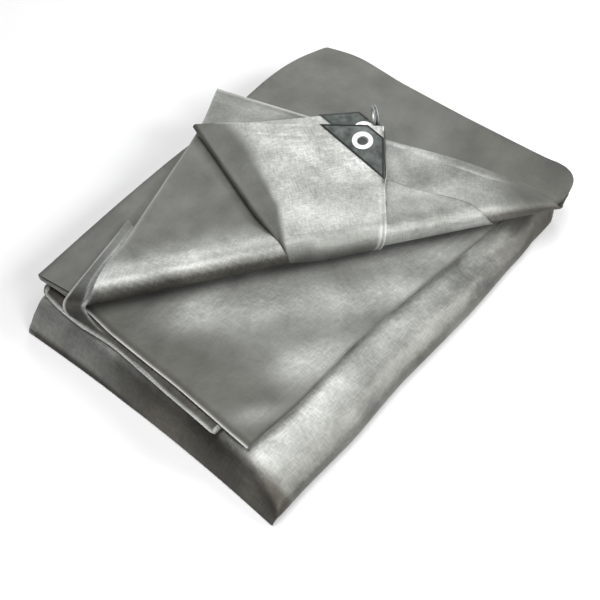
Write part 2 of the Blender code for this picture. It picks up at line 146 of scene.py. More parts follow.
# %% [markdown]
# A folded sheet keeps soft troughs and ridges where it was bent before, and
# it never lies quite flat. Sculpting or a displacement texture could make
# them. Here each crease is a line with a height and a width, so it lies
# where the real one does, and a few crossing sine waves do the rest.


# %% Creases and waves
def line_distance(places, line):
    """Distance from places to a line through points, and the share along it."""
    line = np.array(line, float)
    best = np.full(places.shape[:-1], 1e9)
    share = np.zeros(places.shape[:-1])
    steps = np.linalg.norm(np.diff(line, axis=0), axis=1)
    at = np.concatenate([[0.0], np.cumsum(steps)]) / steps.sum()
    for i in range(len(line) - 1):
        run = line[i + 1] - line[i]
        t = np.clip(((places - line[i]) @ run) / (run @ run), 0.0, 1.0)
        gap = np.linalg.norm(places - line[i] - t[..., None] * run, axis=-1)
        closer = gap < best
        best = np.where(closer, gap, best)
        share = np.where(closer, at[i] + t * (at[i + 1] - at[i]), share)
    return best, share


CREASE_END = 0.2
CREASE_LEAST = 0.15


def creases(places, rows):
    """Height of soft troughs and ridges at places: line, height, width."""
    total = np.zeros(places.shape[:-1])
    for line, height, width in rows:
        gap, share = line_distance(places, line)
        fade = np.clip(np.minimum(share, 1.0 - share) / CREASE_END, 0.0, 1.0)
        total += height * near(gap, width) * (CREASE_LEAST + (1.0 - CREASE_LEAST) * fade)
    return total


WAVE_COUNT = 7
WAVE_SIZES = (0.7, 1.5)
WAVE_PEAK = 3.0


def waves(places, size, height, seed):
    """Slow unevenness: a few crossing sine waves of about one size."""
    draw = np.random.default_rng(seed)
    total = np.zeros(places.shape[:-1])
    for _ in range(WAVE_COUNT):
        turn = draw.uniform(0, 2 * math.pi)
        length = size * draw.uniform(*WAVE_SIZES)
        direction = np.array([math.cos(turn), math.sin(turn)])
        phase = draw.uniform(0, 2 * math.pi)
        total += np.sin(places @ direction * 2 * math.pi / length + phase)
    return height * total / WAVE_PEAK


print("waves at the middle", waves(np.array([[0.0, 0.0]]), 100.0, 1.0, 1)[0].round(2), "mm")

# %% [markdown]
# The tarp is one piece, so one mesh gathers every part of it. Separate
# objects could be joined at the end, but rows of places let each part carry
# its own marks from the start: shine for smooth coating and painted light,
# soil for dirt and painted shade, and bead for worn bright edges and painted
# highlights. Each point also keeps its place on the flat sheet, which the
# weave follows.

# %% Gathering the sheet
# The marks paint light: shine paints light, soil paints shade and dirt, bead paints highlights and worn
# edges.
FINISHES = ("shine_and_painted_light", "soil_and_painted_shade", "wear_and_painted_highlight")
sheet_rows = {name: [] for name in ("places", "flat", "faces") + FINISHES}


def grid_faces(nu, nv, start=0):
    """Quads of a grid whose first vertex has the number start."""
    index = start + np.arange(nu * nv).reshape(nu, nv)
    quads = np.stack([index[:-1, :-1], index[1:, :-1], index[1:, 1:], index[:-1, 1:]], axis=-1)
    return quads.reshape(-1, 4)


def add_grid(places, flat, shine_and_painted_light, soil_and_painted_shade=0.0, wear_and_painted_highlight=0.0):
    """Add a grid of places in millimetres to the sheet, with its weave places and its marks of coating,
    wear, painted light and painted shade.
    """
    start = sum(len(rows) for rows in sheet_rows["places"])
    nu, nv = places.shape[:2]
    sheet_rows["places"].append(places.reshape(-1, 3))
    sheet_rows["flat"].append(flat.reshape(-1, 2))
    sheet_rows["faces"].append(grid_faces(nu, nv, start))
    for name, value in zip(FINISHES, (shine_and_painted_light, soil_and_painted_shade, wear_and_painted_highlight)):
        sheet_rows[name].append(np.broadcast_to(value, (nu, nv)).reshape(-1))


print("the sheet carries", ", ".join(sheet_rows))

# %% [markdown]
# The wrap is the outermost layer. It runs under the bundle, round its long
# front side and back over the top, and it closes at the left end. A block
# with a bevel would give one even radius, but the real fold is tight below
# and slack above. So its section is drawn from the side, and a row of
# stations says how the left end closes and how the back edge wanders.

# %% The wrap's section and stations
SECTION = [
    (172, 0.7), (100, 0.7), (20, 0.7), (-60, 0.7), (-130, 0.7), (-158, 0.8), (-174, 1.6),
    (-182.5, 4.2), (-186.6, 8.6), (-187.3, 13.6), (-184, 19.5), (-175.6, 25.2), (-162.8, 30.6),
    (-147.8, 35.0), (-130, 37.9), (-108, 39.0), (-60, 39.3), (60, 39.3), (172, 39.3),
]
# Each station: its x, the height of its cap, its back edge and a shift in y.
STATIONS = [
    (-268.2, 1.2, 167, 2.0), (-267.2, 5.0, 167, 1.5), (-265.4, 10.0, 166, 1.0),
    (-261.8, 17.5, 166, 0.5), (-256.0, 28.0, 165, 0.0), (-248.0, 42.0, 165, 0.0),
    (-239.0, 62.0, 165, 0.0), (-226.0, 200.0, 165, 0.0), (-150.0, 400.0, 168, -1.0),
    (-60.0, 400.0, 170, 1.5), (60.0, 400.0, 172, 0.0), (160.0, 400.0, 172, 2.5),
    (232.0, 400.0, 172, 5.0), (249.0, 400.0, 166, 12.0),
]


def table_line(rows, count):
    """Rows of a table, smoothed and sampled along its first column."""
    table = np.array(rows, float)
    steps = np.linalg.norm(np.diff(table[:, :1], axis=0), axis=1)
    at = np.concatenate([[0.0], np.cumsum(steps)])
    picks = at[0] + (at[-1] - at[0]) * count
    return np.stack([np.interp(picks, at, column) for column in table.T], axis=1)


# Rows stand close at the left end, where the cap curls down, and even after it.
WRAP_LENGTH = 517.2
wrap_end = np.array([0, 0.4, 1.0, 2.0, 3.2, 5.0, 7.5, 10.5, 14, 18, 22.5, 28, 34, 40])
wrap_x = np.concatenate([wrap_end, np.linspace(45, WRAP_LENGTH, 78)]) / WRAP_LENGTH
wrap_stations = table_line(STATIONS, wrap_x)
section_shares = np.concatenate([
    np.linspace(0.0, 0.40, 16)[:-1], np.linspace(0.40, 0.68, 54)[:-1], np.linspace(0.68, 1.0, 22),
])
section = smooth_line(SECTION, section_shares)
section_steps = np.linalg.norm(np.diff(section, axis=0), axis=1)
section_at = np.concatenate([[0.0], np.cumsum(section_steps)])
NOSE = section_at[np.argmin(section[:, 0])]
print("section", round(section_at[-1]), "mm round, nose at", round(NOSE))

# %% [markdown]
# The section is swept along the stations. A screw or a curve's bevel would
# keep it the same all along, but here every station holds it under a cap
# that falls to the ground, so the left end is a soft closed roll. Creases
# and waves are then pushed outward along the surface. Their lines are
# given in x and in millimetres round the section from its nose.

# %% The wrap's skin
# Each crease: its line, its height and its width.
WRAP_CREASES = [
    ([(-150, NOSE + 22), (0, NOSE + 26), (120, NOSE + 20)], 0.9, 8.0),
    ([(-262, NOSE + 14), (-150, NOSE + 8), (-60, NOSE + 12)], -0.8, 7.0),
    ([(30, NOSE + 4), (140, NOSE + 12), (240, NOSE + 8)], -0.9, 7.0),
    ([(150, NOSE - 4), (205, NOSE + 18), (246, NOSE + 34)], 1.3, 6.0),
    ([(180, NOSE - 8), (220, NOSE + 6), (248, NOSE + 16)], -1.4, 5.0),
    ([(110, NOSE + 30), (150, NOSE + 22), (196, NOSE + 32)], -1.1, 6.0),
    ([(196, NOSE + 6), (214, NOSE + 26), (226, NOSE + 44)], 1.2, 5.0),
    ([(60, NOSE + 12), (92, NOSE + 20), (128, NOSE + 10)], 0.9, 6.0),
    ([(-266, NOSE + 60), (-235, NOSE + 54), (-200, NOSE + 62)], -0.8, 7.0),
]
# The left end: where it starts to draw in, how fast, and how far at its
# middle and where its top slumps.
END_START = -228.0
END_RUN = 40.0
END_BOW = 8.0
END_SLUMP = 10.0
# The section's own back edge, how sharply the cap cuts in, where the top bows
# and slumps from front to back, and the height from which the relief is full.
BACK_EDGE = 172.0
CAP_POWER = -4.0
BOW_FRONT, BOW_BACK = -188.0, 164.0
SLUMP_FRONT, SLUMP_BACK = 20.0, 160.0
RELIEF_FULL = 6.0


def wrap_skin():
    """Grid of the wrap, stations by section, and its weave places."""
    x, cap, back, shift = (wrap_stations[:, None, k] for k in range(4))
    y, height = section[None, :, 0], section[None, :, 1]
    y = np.where(y > 0, y * back / BACK_EDGE, y + shift)
    z = (height ** CAP_POWER + cap ** CAP_POWER) ** (1.0 / CAP_POWER)
    weight = np.clip((END_START - x) / END_RUN, 0.0, 1.0)
    middle = np.sin(math.pi * np.clip((y - BOW_FRONT) / (BOW_BACK - BOW_FRONT), 0.0, 1.0))
    slump = np.clip((y - SLUMP_FRONT) / (SLUMP_BACK - SLUMP_FRONT), 0.0, 1.0)
    inward = weight * (END_BOW * middle + END_SLUMP * slump * (0.4 + 0.8 * z / 40.0))
    flat = np.stack([x + 0 * y, section_at[None, :] + 0 * x], axis=-1)
    places = np.stack([x + inward, y, z], axis=-1)
    run = np.gradient(places, axis=0)
    rise = np.gradient(places, axis=1)
    outward = np.cross(run, rise)
    outward /= np.maximum(np.linalg.norm(outward, axis=-1, keepdims=True), 1e-9)
    above = np.clip(z / RELIEF_FULL, 0.0, 1.0)[..., None]
    relief = creases(flat, WRAP_CREASES) + waves(flat, 150.0, 0.7, 3)
    return places + outward * relief[..., None] * above, flat


wrap_places, wrap_flat = wrap_skin()
print("wrap grid", wrap_places.shape)

# %% [markdown]
# The wrap carries brown painted shade where it meets the ground, round the
# short side and on the lower part of its long side. It is darker and less
# glossy to the right, and a painted highlight lies where light gathers
# beside the top panel. It could be painted by hand, but spans along x, y,
# the height and the way round the section place each tone to the
# millimetre.

# %% The wrap's finish
x, y, z = np.moveaxis(wrap_places, -1, 0)
past_nose = wrap_flat[..., 1] - NOSE
# Painted shade: at the short end, at the foot and below the nose of the long side.
end_painted_shade = span(x, -228.0, -248.0) * (0.3 + 0.6 * span(y, 90.0, 0.0))
foot_painted_shade = 0.95 * span(z, 13.0, 4.0)
side_painted_shade = 0.6 * span(past_nose, 50.0, 4.0)
wrap_right = span(x, 100.0, 190.0)
wrap_painted_shade = np.max([end_painted_shade, foot_painted_shade, side_painted_shade + 0.2 * wrap_right, 0.34 * wrap_right], axis=0)
# A painted highlight on the top of the wrap beside the top panel.
beside_panel = near(y + 140.0, 15.0) * (z > 20.0)
wrap_painted_highlight = 0.5 * beside_panel * span(x, -60.0, -150.0) * (1.0 - end_painted_shade)
add_grid(wrap_places, wrap_flat, 0.68 - 0.38 * wrap_right, wrap_painted_shade, wrap_painted_highlight)
print("soil on the wrap, most", wrap_painted_shade.max().round(2))

# %% [markdown]
# Layers of one sheet join at their ends by a soft fold. A Bridge between
# two edges would join them flat. Half a circle between them, drawn point by
# point, bulges outward as cloth does and keeps the creases of both edges.

# %% Soft folds
FOLD_MOST = 12.0
FOLD_STEPS = 6


def half_turn(lower, upper, outward, puff=1.0):
    """Grid of a soft fold that joins two edges, bulging outward."""
    rows = []
    for i in range(FOLD_STEPS + 1):
        angle = math.pi * i / FOLD_STEPS
        share = (1.0 - math.cos(angle)) / 2.0
        middle = lower * (1 - share) + upper * share
        radius = np.minimum(np.abs(upper[:, 2:] - lower[:, 2:]) / 2.0, FOLD_MOST)
        rows.append(middle + outward * radius * math.sin(angle) * puff)
    return np.stack(rows, axis=1)


OUTWARD = {name: np.array(way) for name, way in (
    ("left", (-1.0, 0.0, 0.0)), ("right", (1.0, 0.0, 0.0)),
    ("front", (0.0, -1.0, 0.0)), ("back", (0.0, 1.0, 0.0)),
)}
print("a fold is at most", FOLD_MOST, "mm in radius")

# %% [markdown]
# Under the panels, the sheet lies back and forth in six inner layers. Their
# middles could be left out, but an open gap would show at the back and the
# right end, so each is a coarse grid, joined to the next by a fold at
# alternate ends.

# %% The inner layers and their folds
# Each layer: its level, left, right, front and back.
INNER = [
    (6.4, -236, 236, -166, 158), (11.7, -234, 236, -164, 162), (17.0, -232, 236, -160, 160),
    (22.3, -230, 237, -152, 163), (27.6, -226, 236, -142, 161), (32.9, -222, 237, -126, 162),
]
inner_u = shares(470, 40, (2,))
inner_v = shares(325, 22, (2,))
before_edge = None
for number, (level, left, right, front, back) in enumerate(INNER):
    corners = [(left, front), (right, front), (right, back), (left, back)]
    plan = sheet_grid(corners[:2], [corners[3], corners[2]], [corners[0], corners[3]],
                      corners[1:3], inner_u, inner_v)
    height = level + waves(plan, 120.0, 0.5, 20 + number)
    grid = np.concatenate([plan, height[..., None]], axis=-1)
    add_grid(grid, plan, 0.4)
    way, here, there = ("right", -1, 0) if number % 2 == 0 else ("left", 0, -1)
    if before_edge is not None:
        fold = half_turn(before_edge, grid[here], OUTWARD[way])
        add_grid(fold, fold[..., 1:], 0.4)
    before_edge = grid[there]
print("inner layers", len(INNER))

# %% [markdown]
# Three flat panels lie on the wrap. The lower two show as slim edges at the
# left, and the top one shows most of its face. Each could be a plane scaled
# to size, but no edge of the real ones is straight, so each has four edge
# lines, drawn left to right or front to back, and the level it lies at.

# %% The panels' edges
EDGES = {
    "panel_3": {
        "level": 43.0,
        "front": [(-246, -92), (-90, -95), (110, -108), (236, -118)],
        "back": [(-244, 160), (-120, 168), (120, 171), (238, 170)],
        "left": [(-246, -92), (-244, -40), (-237, 20), (-234, 60), (-234, 160)],
        "right": [(236, -118), (247, -60), (248, 60), (247, 140), (238, 170)],
    },
    "panel_2": {
        "level": 46.6,
        "front": [(-249, -90), (-90, -90), (110, -102), (238, -112)],
        "back": [(-236, 162), (-120, 171), (120, 174), (240, 173)],
        "left": [(-249, -90), (-245.5, -45), (-241, 8), (-238, 62), (-241, 105), (-239, 145), (-236, 162)],
        "right": [(238, -112), (251, -60), (252, 60), (251, 145), (240, 173)],
    },
    "panel_1": {
        "level": 50.2,
        "front": [(-241, -131), (-160, -136), (-86, -134), (24, -142), (110, -152), (234, -165)],
        "back": [(-227, 165), (-110, 175), (100, 176), (243, 174)],
        "left": [
            (-241, -131), (-237, -75), (-233.5, -20), (-232, 30), (-230.5, 67), (-226, 107), (-227, 165),
        ],
        "right": [(234, -165), (254, -60), (255, 60), (254, 145), (243, 174)],
    },
}
print("panel edges", list(EDGES))

# %% [markdown]
# The top panel keeps the marks of earlier folds: soft ridges and troughs
# that cross it slantwise. They could be drawn in a texture, but a low relief
# catches the light from every side. The lower panels show only their rims,
# so they need a single crease each and far fewer rows.

# %% The panels' creases and rows
PANEL_CREASES = {
    "panel_1": [
        ([(-238, -40), (-120, -60), (20, -100), (120, -140)], 0.8, 12.0),
        ([(-205, -135), (-190, -60), (-186, 20)], -0.7, 9.0),
        ([(-60, -134), (-30, -100), (20, -86)], -0.9, 8.0),
        ([(-120, -20), (-70, -52), (-10, -70), (50, -110)], 1.5, 17.0),
        ([(-180, 30), (-120, 20), (-60, -10)], -1.3, 15.0),
        ([(-200, -90), (-140, -100), (-90, -125)], -1.1, 13.0),
        ([(40, -146), (90, -120), (150, -128), (225, -160)], 0.8, 7.0),
    ],
    "panel_2": [([(-243, -40), (-150, -60)], 0.4, 8.0)],
    "panel_3": [([(-246, -30), (-150, -50)], 0.4, 8.0)],
}
# The top panel has close rows where its hem is welded, the others only at their ends.
panel_v = {
    "panel_3": shares(265, 12, (1.5, 4.0)),
    "panel_2": shares(275, 12, (1.5, 4.0)),
    "panel_1": shares(320, 4.8, (0.8, 16.0, 17.5, 19.0, 20.5)),
}
print("grid rows of the top panel", len(panel_v["panel_1"]))

# %% [markdown]
# A hem is the sheet's edge turned in and welded. It shows as a strip a
# little higher than the sheet, with a groove where it is welded and a lip
# at the rim, worn bright. It could be a second strip of mesh. A height by
# the distance from the edge line follows any edge and needs no seam.

# %% Hems and worn edges
HEM = 20.0
HEM_RISE = 0.45
HEM_STEP = 0.5
# The weld: how far it lies inside the hem, its depth and its width.
WELD_IN, WELD_DEPTH, WELD_WIDTH = 3.0, 0.35, 0.9
LIP_RISE, LIP_WIDTH = 0.35, 1.6
BEAD_WIDTH = 1.7


def hem(places, line, width=HEM, rise=HEM_RISE):
    """Height of a hem strip along an edge line, with its welded groove."""
    gap, _ = line_distance(places, line)
    step = 1.0 / (1.0 + np.exp((gap - width) / HEM_STEP))
    groove = -WELD_DEPTH * near(gap - width + WELD_IN, WELD_WIDTH)
    return rise * step + groove + LIP_RISE * near(gap, LIP_WIDTH)


def bead_along(places, *lines, strength=1.0):
    """Share of worn bright edge at places: strong on the lines, gone 2 mm away."""
    nearest = np.min([line_distance(places, line)[0] for line in lines], axis=0)
    return strength * near(nearest, BEAD_WIDTH)


def flat_layer(name, u, v, rows, seed, hems):
    """Grid of a flat layer with its creases and hems: plan places and level."""
    edges = EDGES[name]
    plan = sheet_grid(edges["front"], edges["back"], edges["left"], edges["right"], u, v)
    level = edges["level"] + creases(plan, rows) + waves(plan, 110.0, 0.5, seed)
    for edge in hems:
        level = level + hem(plan, edges[edge])
    return plan, level


print("hem step", round(float(hem(np.array([[0.0, 10.0]]), [(-50, 0), (50, 0)])[0]), 2), "mm")

# %% [markdown]
# The panels take their grids here. The middle one sags at its left edge,
# toward the wrap, because nothing holds it up there. A soft-body run could
# find that sag, but one span along the edge gives the same line.

# %% The panels' grids
SAG = 3.8
panels = {}
from_left = {}
for number, name in enumerate(("panel_3", "panel_2", "panel_1")):
    plan, level = flat_layer(name, wrap_x, panel_v[name], PANEL_CREASES[name], 40 + number,
                             ("left", "front"))
    from_left[name], _ = line_distance(plan, EDGES[name]["left"])
    if name == "panel_2":
        level = level - SAG * span(from_left[name], 13.0, 0.0) * span(plan[..., 1], -70.0, -10.0)
    panels[name] = np.concatenate([plan, level[..., None]], axis=-1)
print("top panel's grid", panels["panel_1"].shape)

# %% [markdown]
# Above the panels, the corner is turned back over a bend that runs
# slantwise. Two directions belong to it: one runs along the bend and one
# across it. An object turned to that angle could hold them, but two unit
# vectors keep every place in the same drawing.

# %% Along and across the bend
ALONG = np.array([0.820, -0.572])
ACROSS = np.array([0.572, 0.820])


def to_plane(along, across):
    """Plan place of a point given along and across the bend."""
    return along[..., None] * ALONG + across[..., None] * ACROSS


print("the bend runs at", round(math.degrees(math.atan2(ALONG[1], ALONG[0]))), "degrees")

# %% [markdown]
# The top panel's coating has painted shade at its left corner and painted
# highlights in soft spots that lie along the folds. A noise texture alone
# would put such spots anywhere, so they are listed one by one: x, y, size
# and strength. A painted shadow line runs along its front edge, a dark line
# runs just inside its left edge, and its rims are worn. The middle panel has
# a band of painted shade along its left margin.

# %% The panels' finish
PAINTED_HIGHLIGHTS = [
    (-121, -116, 24, 0.55), (-106, -22, 30, 0.4), (-159, 21, 22, 0.45), (-32, -98, 26, 0.4),
    (9, -126, 22, 0.4), (-206, -112, 14, 0.35), (60, -110, 34, 0.3), (-60, -60, 30, 0.25),
]
SPOT_LONG = 1.5
SPOT_NARROW = 0.75


def painted_highlight(places):
    """Share of painted highlight at places, from listed round spots."""
    total = np.zeros(places.shape[:-1])
    for x, y, size, strength in PAINTED_HIGHLIGHTS:
        offset = places - (x, y)
        gap = np.hypot(offset @ ALONG / SPOT_LONG, offset @ ACROSS / SPOT_NARROW)
        total += strength * near(gap, size)
    return total


lower_gap = from_left["panel_2"]
# Painted shade along the middle panel's left margin.
lower_painted_shade = 0.85 * span(lower_gap, 26.0, 18.0) * span(lower_gap, 2.0, 4.0)
plan = panels["panel_1"][..., :2]
# Painted shade at the top panel's left corner, a painted shadow line along its front edge, and a dark line
# inside its left edge.
painted_shade_corner = span(plan[..., 0], -130.0, -200.0)
top_painted_light = 0.3 - 0.25 * painted_shade_corner + painted_highlight(plan)
top_painted_shade = np.max([
    0.14 * painted_shade_corner,
    0.9 * bead_along(plan, EDGES["panel_1"]["front"]),
    0.7 * near(from_left["panel_1"] - 5.0, 3.2),
], axis=0)
top_painted_highlight = 0.6 * np.clip(painted_highlight(plan), 0.0, 0.7)
for name, shine_and_painted_light, soil_and_painted_shade, least, worn in (
    ("panel_3", 0.5, 0.0, 0.0, 0.5), ("panel_2", 0.5, lower_painted_shade, 0.0, 0.5),
    ("panel_1", top_painted_light, top_painted_shade, top_painted_highlight, 0.75),
):
    plan = panels[name][..., :2]
    wear_and_painted_highlight = np.maximum(bead_along(plan, EDGES[name]["left"], strength=worn), least)
    add_grid(panels[name], plan, shine_and_painted_light, soil_and_painted_shade, wear_and_painted_highlight)
print("rubbed spots", len(PAINTED_HIGHLIGHTS))

# %% [markdown]
# The panels belong to the same sheet, so folds join them to each other in
# front and at the back, and to the wrap's back edge. Loose panels would
# look the same from the photo's side, but not from behind.

# %% The panels' folds
for lower, upper, way, row, puff in (
    (panels["panel_3"], panels["panel_2"], "front", 0, 1.0),
    (panels["panel_2"], panels["panel_1"], "back", -1, 1.0),
    (wrap_places, panels["panel_3"], "back", -1, 0.2),
):
    fold = half_turn(lower[:, row], upper[:, row], OUTWARD[way], puff=puff)
    add_grid(fold, fold[..., :2], 0.5)
print("parts of the sheet so far", len(sheet_rows["places"]))

# %% [markdown]
# The corner was lifted and turned back on itself, so several layers go
# round one slanted bend. Blender's Simple Deform could bend them, but each
# layer has its own radius and has to stay at its own height. So a layer is
# drawn flat, and every point is then carried round half a circle by its
# distance past the bend's axis. Behind the bend the layers settle a little.

# %% The slanted bend
AXIS_ACROSS = -31.6
AXIS_LEVEL = 70.0
SETTLE_RUN = 60.0
# The bend is pressed flatter toward its right end: place along it, share.
FLAT_TOP = 62.0
FLATTEN = [(110.0, 1.0), (180.0, 0.92), (240.0, 0.72), (270.0, 0.5), (300.0, 0.25)]
# How far each layer settles behind the bend, and the level it starts from.
SINK = {"turned_upper": 14.4, "turned_lower": 14.0, "doubler": 14.0, "flap": 8.3}
BEND_LEVEL = {"turned_upper": 60.3, "turned_lower": 56.7, "doubler": 55.3, "flap": 53.5}


def turn_back(flat, level, name):
    """Carry a flat layer's places up and over the slanted bend."""
    along = flat @ ALONG
    across = flat @ ACROSS
    radius = AXIS_LEVEL - BEND_LEVEL[name]
    ahead = AXIS_ACROSS - across
    reach = AXIS_LEVEL - level
    angle = np.clip(ahead / radius, 0.0, math.pi)
    run = np.maximum(ahead - math.pi * radius, 0.0)
    sink = SINK[name] * span(run, 0.0, SETTLE_RUN)
    round_across = AXIS_ACROSS - reach * np.sin(angle) + run
    round_level = AXIS_LEVEL - reach * np.cos(angle) - sink
    across = np.where(ahead > 0, round_across, across)
    level = np.where(ahead > 0, round_level, level)
    flat_share = np.interp(along, [row[0] for row in FLATTEN], [row[1] for row in FLATTEN])
    high = (level > FLAT_TOP) & (ahead > 0)
    level = np.where(high, FLAT_TOP + (level - FLAT_TOP) * flat_share, level)
    return np.concatenate([to_plane(along, across), level[..., None]], axis=-1)


print("bend radius of the turned layers", [round(AXIS_LEVEL - BEND_LEVEL[name], 1) for name in SINK])

# %% [markdown]
# Two layers are turned back. At the back they lie flat and make the smooth
# rounded end on the right, and in front they go over the bend. They could
# be cut from one big sheet, but two sets of edge lines keep their hems and
# creases simple.

# %% The turned layers' edges
EDGES.update({
    "turned_lower": {
        "level": 56.7,
        "front": [(-232, -258), (-60, -247), (180, -219), (218, -197), (236, -192.5)],
        "back": [(-231, 172), (-100, 180), (60, 183), (200, 182), (252, 170)],
        "left": [(-232, -258), (-226, -196), (-229, -90), (-234, 36), (-228, 131), (-231, 172)],
        "right": [
            (236, -192.5), (249, -187.5), (257, -180.5), (262, -171), (264, -158), (264, -130),
            (262, -60), (259, 60), (258, 146), (252, 170),
        ],
    },
    "turned_upper": {
        "level": 60.3,
        "front": [(-218, -230), (-60, -222), (120, -208), (200, -194.5), (240, -191.5)],
        "back": [(-229, 176), (-100, 184), (60, 187), (225, 185), (255, 174)],
        "left": [(-218, -230), (-218, -120), (-226, 40), (-224, 131), (-229, 176)],
        "right": [
            (240, -191.5), (254, -188), (263.5, -182), (269.5, -172.5), (271.5, -160), (269.5, -146),
            (267, -100), (264, -30), (263, 60), (262, 150), (255, 174),
        ],
    },
})
print("turned layers with edges", [name for name in EDGES if name.startswith("turned")])

# %% [markdown]
# Each turned layer is drawn flat with its front hem and its creases, carried
# over the bend, and then thinned to a rounded rim at the right end, so the
# edge of the fold doesn't stand up like a board. Bending first and drawing
# the hem afterwards would need the bent surface's own directions.

# %% The turned layers' grids
TURNED_CREASES = {
    "turned_lower": [],
    "turned_upper": [
        ([(-224, 60), (-60, 90), (120, 150), (240, 176)], 0.5, 16.0),
        ([(-150, 184), (-40, 120), (90, 40)], -0.4, 14.0),
    ],
}
# The rim's width, how far it drops, and how full its rounding is.
RIM = 15.0
RIM_DROP = 1.5
RIM_FULL = 2.5
turned_u = shares(480, 5.6, (0.8, 3.0, 6.0, 17.5, 19.0, 20.5))
turned_v = {
    "turned_lower": panel_v["panel_1"],
    "turned_upper": shares(400, 5.6, (0.8, 17.5, 19.0, 20.5)),
}
turned = {}
turned_plan = {}
for number, name in enumerate(("turned_lower", "turned_upper")):
    plan, level = flat_layer(name, turned_u, turned_v[name], TURNED_CREASES[name], 50 + number, ("front",))
    laid = turn_back(plan, level, name)
    from_right, _ = line_distance(plan, EDGES[name]["right"])
    edge_share = np.clip(1.0 - from_right / RIM, 0.0, 1.0)
    rim_level = EDGES[name]["level"] - RIM_DROP
    laid[..., 2] = rim_level + (laid[..., 2] - rim_level) * np.sqrt(1.0 - edge_share ** RIM_FULL)
    turned[name] = laid
    turned_plan[name] = plan
print("turned upper grid", turned["turned_upper"].shape)

# %% [markdown]
# The turned layers show both sides of the sheet. Behind, they are dull.
# Past the bend's crest a painted highlight makes the coating bright, most of
# all near the crest and to the right, and below the crest painted brown
# shade darkens it. Toward the right tip the highlight fades into a little
# painted shade, with a painted shadow line inside the front edge. A light
# placed just there could do the same from one side only. Painted on the
# cloth it holds from all sides.


# %% The turned layers' finish
def turned_finish(name, plan):
    """Painted light, painted shade and worn edges of a turned layer, by its way past the bend's crest."""
    ahead = AXIS_ACROSS - plan @ ACROSS
    along = plan @ ALONG
    arc = math.pi * (AXIS_LEVEL - BEND_LEVEL[name])
    crest = ahead - arc
    turned_over = ahead > 0
    to_tip = span(along, 205.0, 250.0)
    far_tip = 0.65 * span(crest, 190.0, 208.0)
    # Painted light past the crest, fading at the right tip.
    bright = np.max([span(crest, 58.0, 12.0), span(along, 70.0, 120.0), far_tip], axis=0)
    shine_and_painted_light = np.where(turned_over, 0.15 + 0.62 * bright * (1.0 - to_tip), 0.12)
    from_front, _ = line_distance(plan, EDGES[name]["front"])
    # A painted shadow line inside the front edge toward the tip.
    front_painted_shadow = 0.5 * near(from_front - 4.6, 1.3) * (far_tip > 0)
    # Painted brown shade below the crest, and a little at the tip.
    under_crest = span(ahead / arc, 0.98, 0.62) * turned_over
    soil_and_painted_shade = np.max([0.85 * under_crest, 0.2 * to_tip, front_painted_shadow], axis=0)
    wear_and_painted_highlight = np.max([
        bead_along(plan, EDGES[name]["front"], strength=0.6),
        bead_along(plan, EDGES[name]["left"], strength=0.3),
        # A painted highlight band just past the crest.
        0.5 * near(crest - 8.0, 9.0) * span(along, 120.0, 0.0),
    ], axis=0)
    return shine_and_painted_light, soil_and_painted_shade, wear_and_painted_highlight * (1.0 - to_tip) * turned_over


for name, plan in turned_plan.items():
    add_grid(turned[name], plan, *turned_finish(name, plan))
fold = half_turn(turned["turned_lower"][:, -1], turned["turned_upper"][:, -1], OUTWARD["back"])
add_grid(fold, fold[..., :2], 0.1)
# The right end's fold stops where the layer starts to climb, and at the rounded corner.
STILL_BELOW = 61.0
STILL_BEHIND = -150.0
second_right = turned["turned_lower"][-1]
still = (second_right[:, 2] < STILL_BELOW) & (second_right[:, 1] > STILL_BEHIND)
fold = half_turn(panels["panel_1"][-1][still], second_right[still], OUTWARD["right"])
add_grid(fold, fold[..., 1:], 0.4)
print("points on the right end's fold", int(still.sum()))

# %% [markdown]
# At the bend's left end, the hem of the layer below stands up and follows
# the bend as a narrow strip, with painted shade at its foot. It could be cut
# out of the turned layer's grid. A strip between two lines is enough, as
# only its upper side shows: the outer line is drawn, and the inner one
# follows the turned layer's own edge.

# %% The hem strip round the bend's left end
STRIP_OUTER = [
    (-240.5, 100.0, 41.0), (-239.8, 122.0, 42.4), (-237.3, 131.3, 46.0), (-235.6, 132.5, 52.0),
    (-232.9, 130.7, 59.5),
    (-223.3, 130.9, 63.5), (-207.3, 134.2, 64.0), (-189.2, 137.8, 64.2), (-174.3, 141.1, 64.5),
    (-157.3, 144.9, 64.5), (-135.8, 149.8, 65.0), (-114.6, 155.7, 65.3),
]
STRIP_START = [(-231.5, 76.0, 45.5), (-230.6, 90.0, 48.5), (-226.8, 107.0, 54.0)]
bend_edge = turned["turned_lower"][0]
CLIMB_ABOVE = 63.0
CLIMB_LEFT = -118.0
CLIMB_UNDER = (0.0, 0.0, 1.2)
climbs = bend_edge[(bend_edge[:, 2] > CLIMB_ABOVE) & (bend_edge[:, 0] < CLIMB_LEFT)][::-1]
strip_v = np.linspace(0.0, 1.0, 44)
strip_in = smooth_line(np.concatenate([STRIP_START, climbs - CLIMB_UNDER]), strip_v)
strip_out = smooth_line(STRIP_OUTER, strip_v)
strip_u = np.array([0.0, 0.06, 0.13, 0.26, 0.4, 0.52, 0.62, 0.7, 0.78, 0.89, 1.0])[:, None]
strip_hem = (1 - strip_u)[..., None] * strip_out[None] + strip_u[..., None] * strip_in[None]
# The weld line wanders from the strip's inner side to its middle.
strip_line = 0.97 - 0.27 * span(strip_v, 0.16, 0.46)[None]
strip_worn = np.maximum(strip_u < 0.1, near(strip_u - strip_line, 0.06))
strip_bead = 0.75 * strip_worn * span(strip_v, 0.98, 0.62)[None]
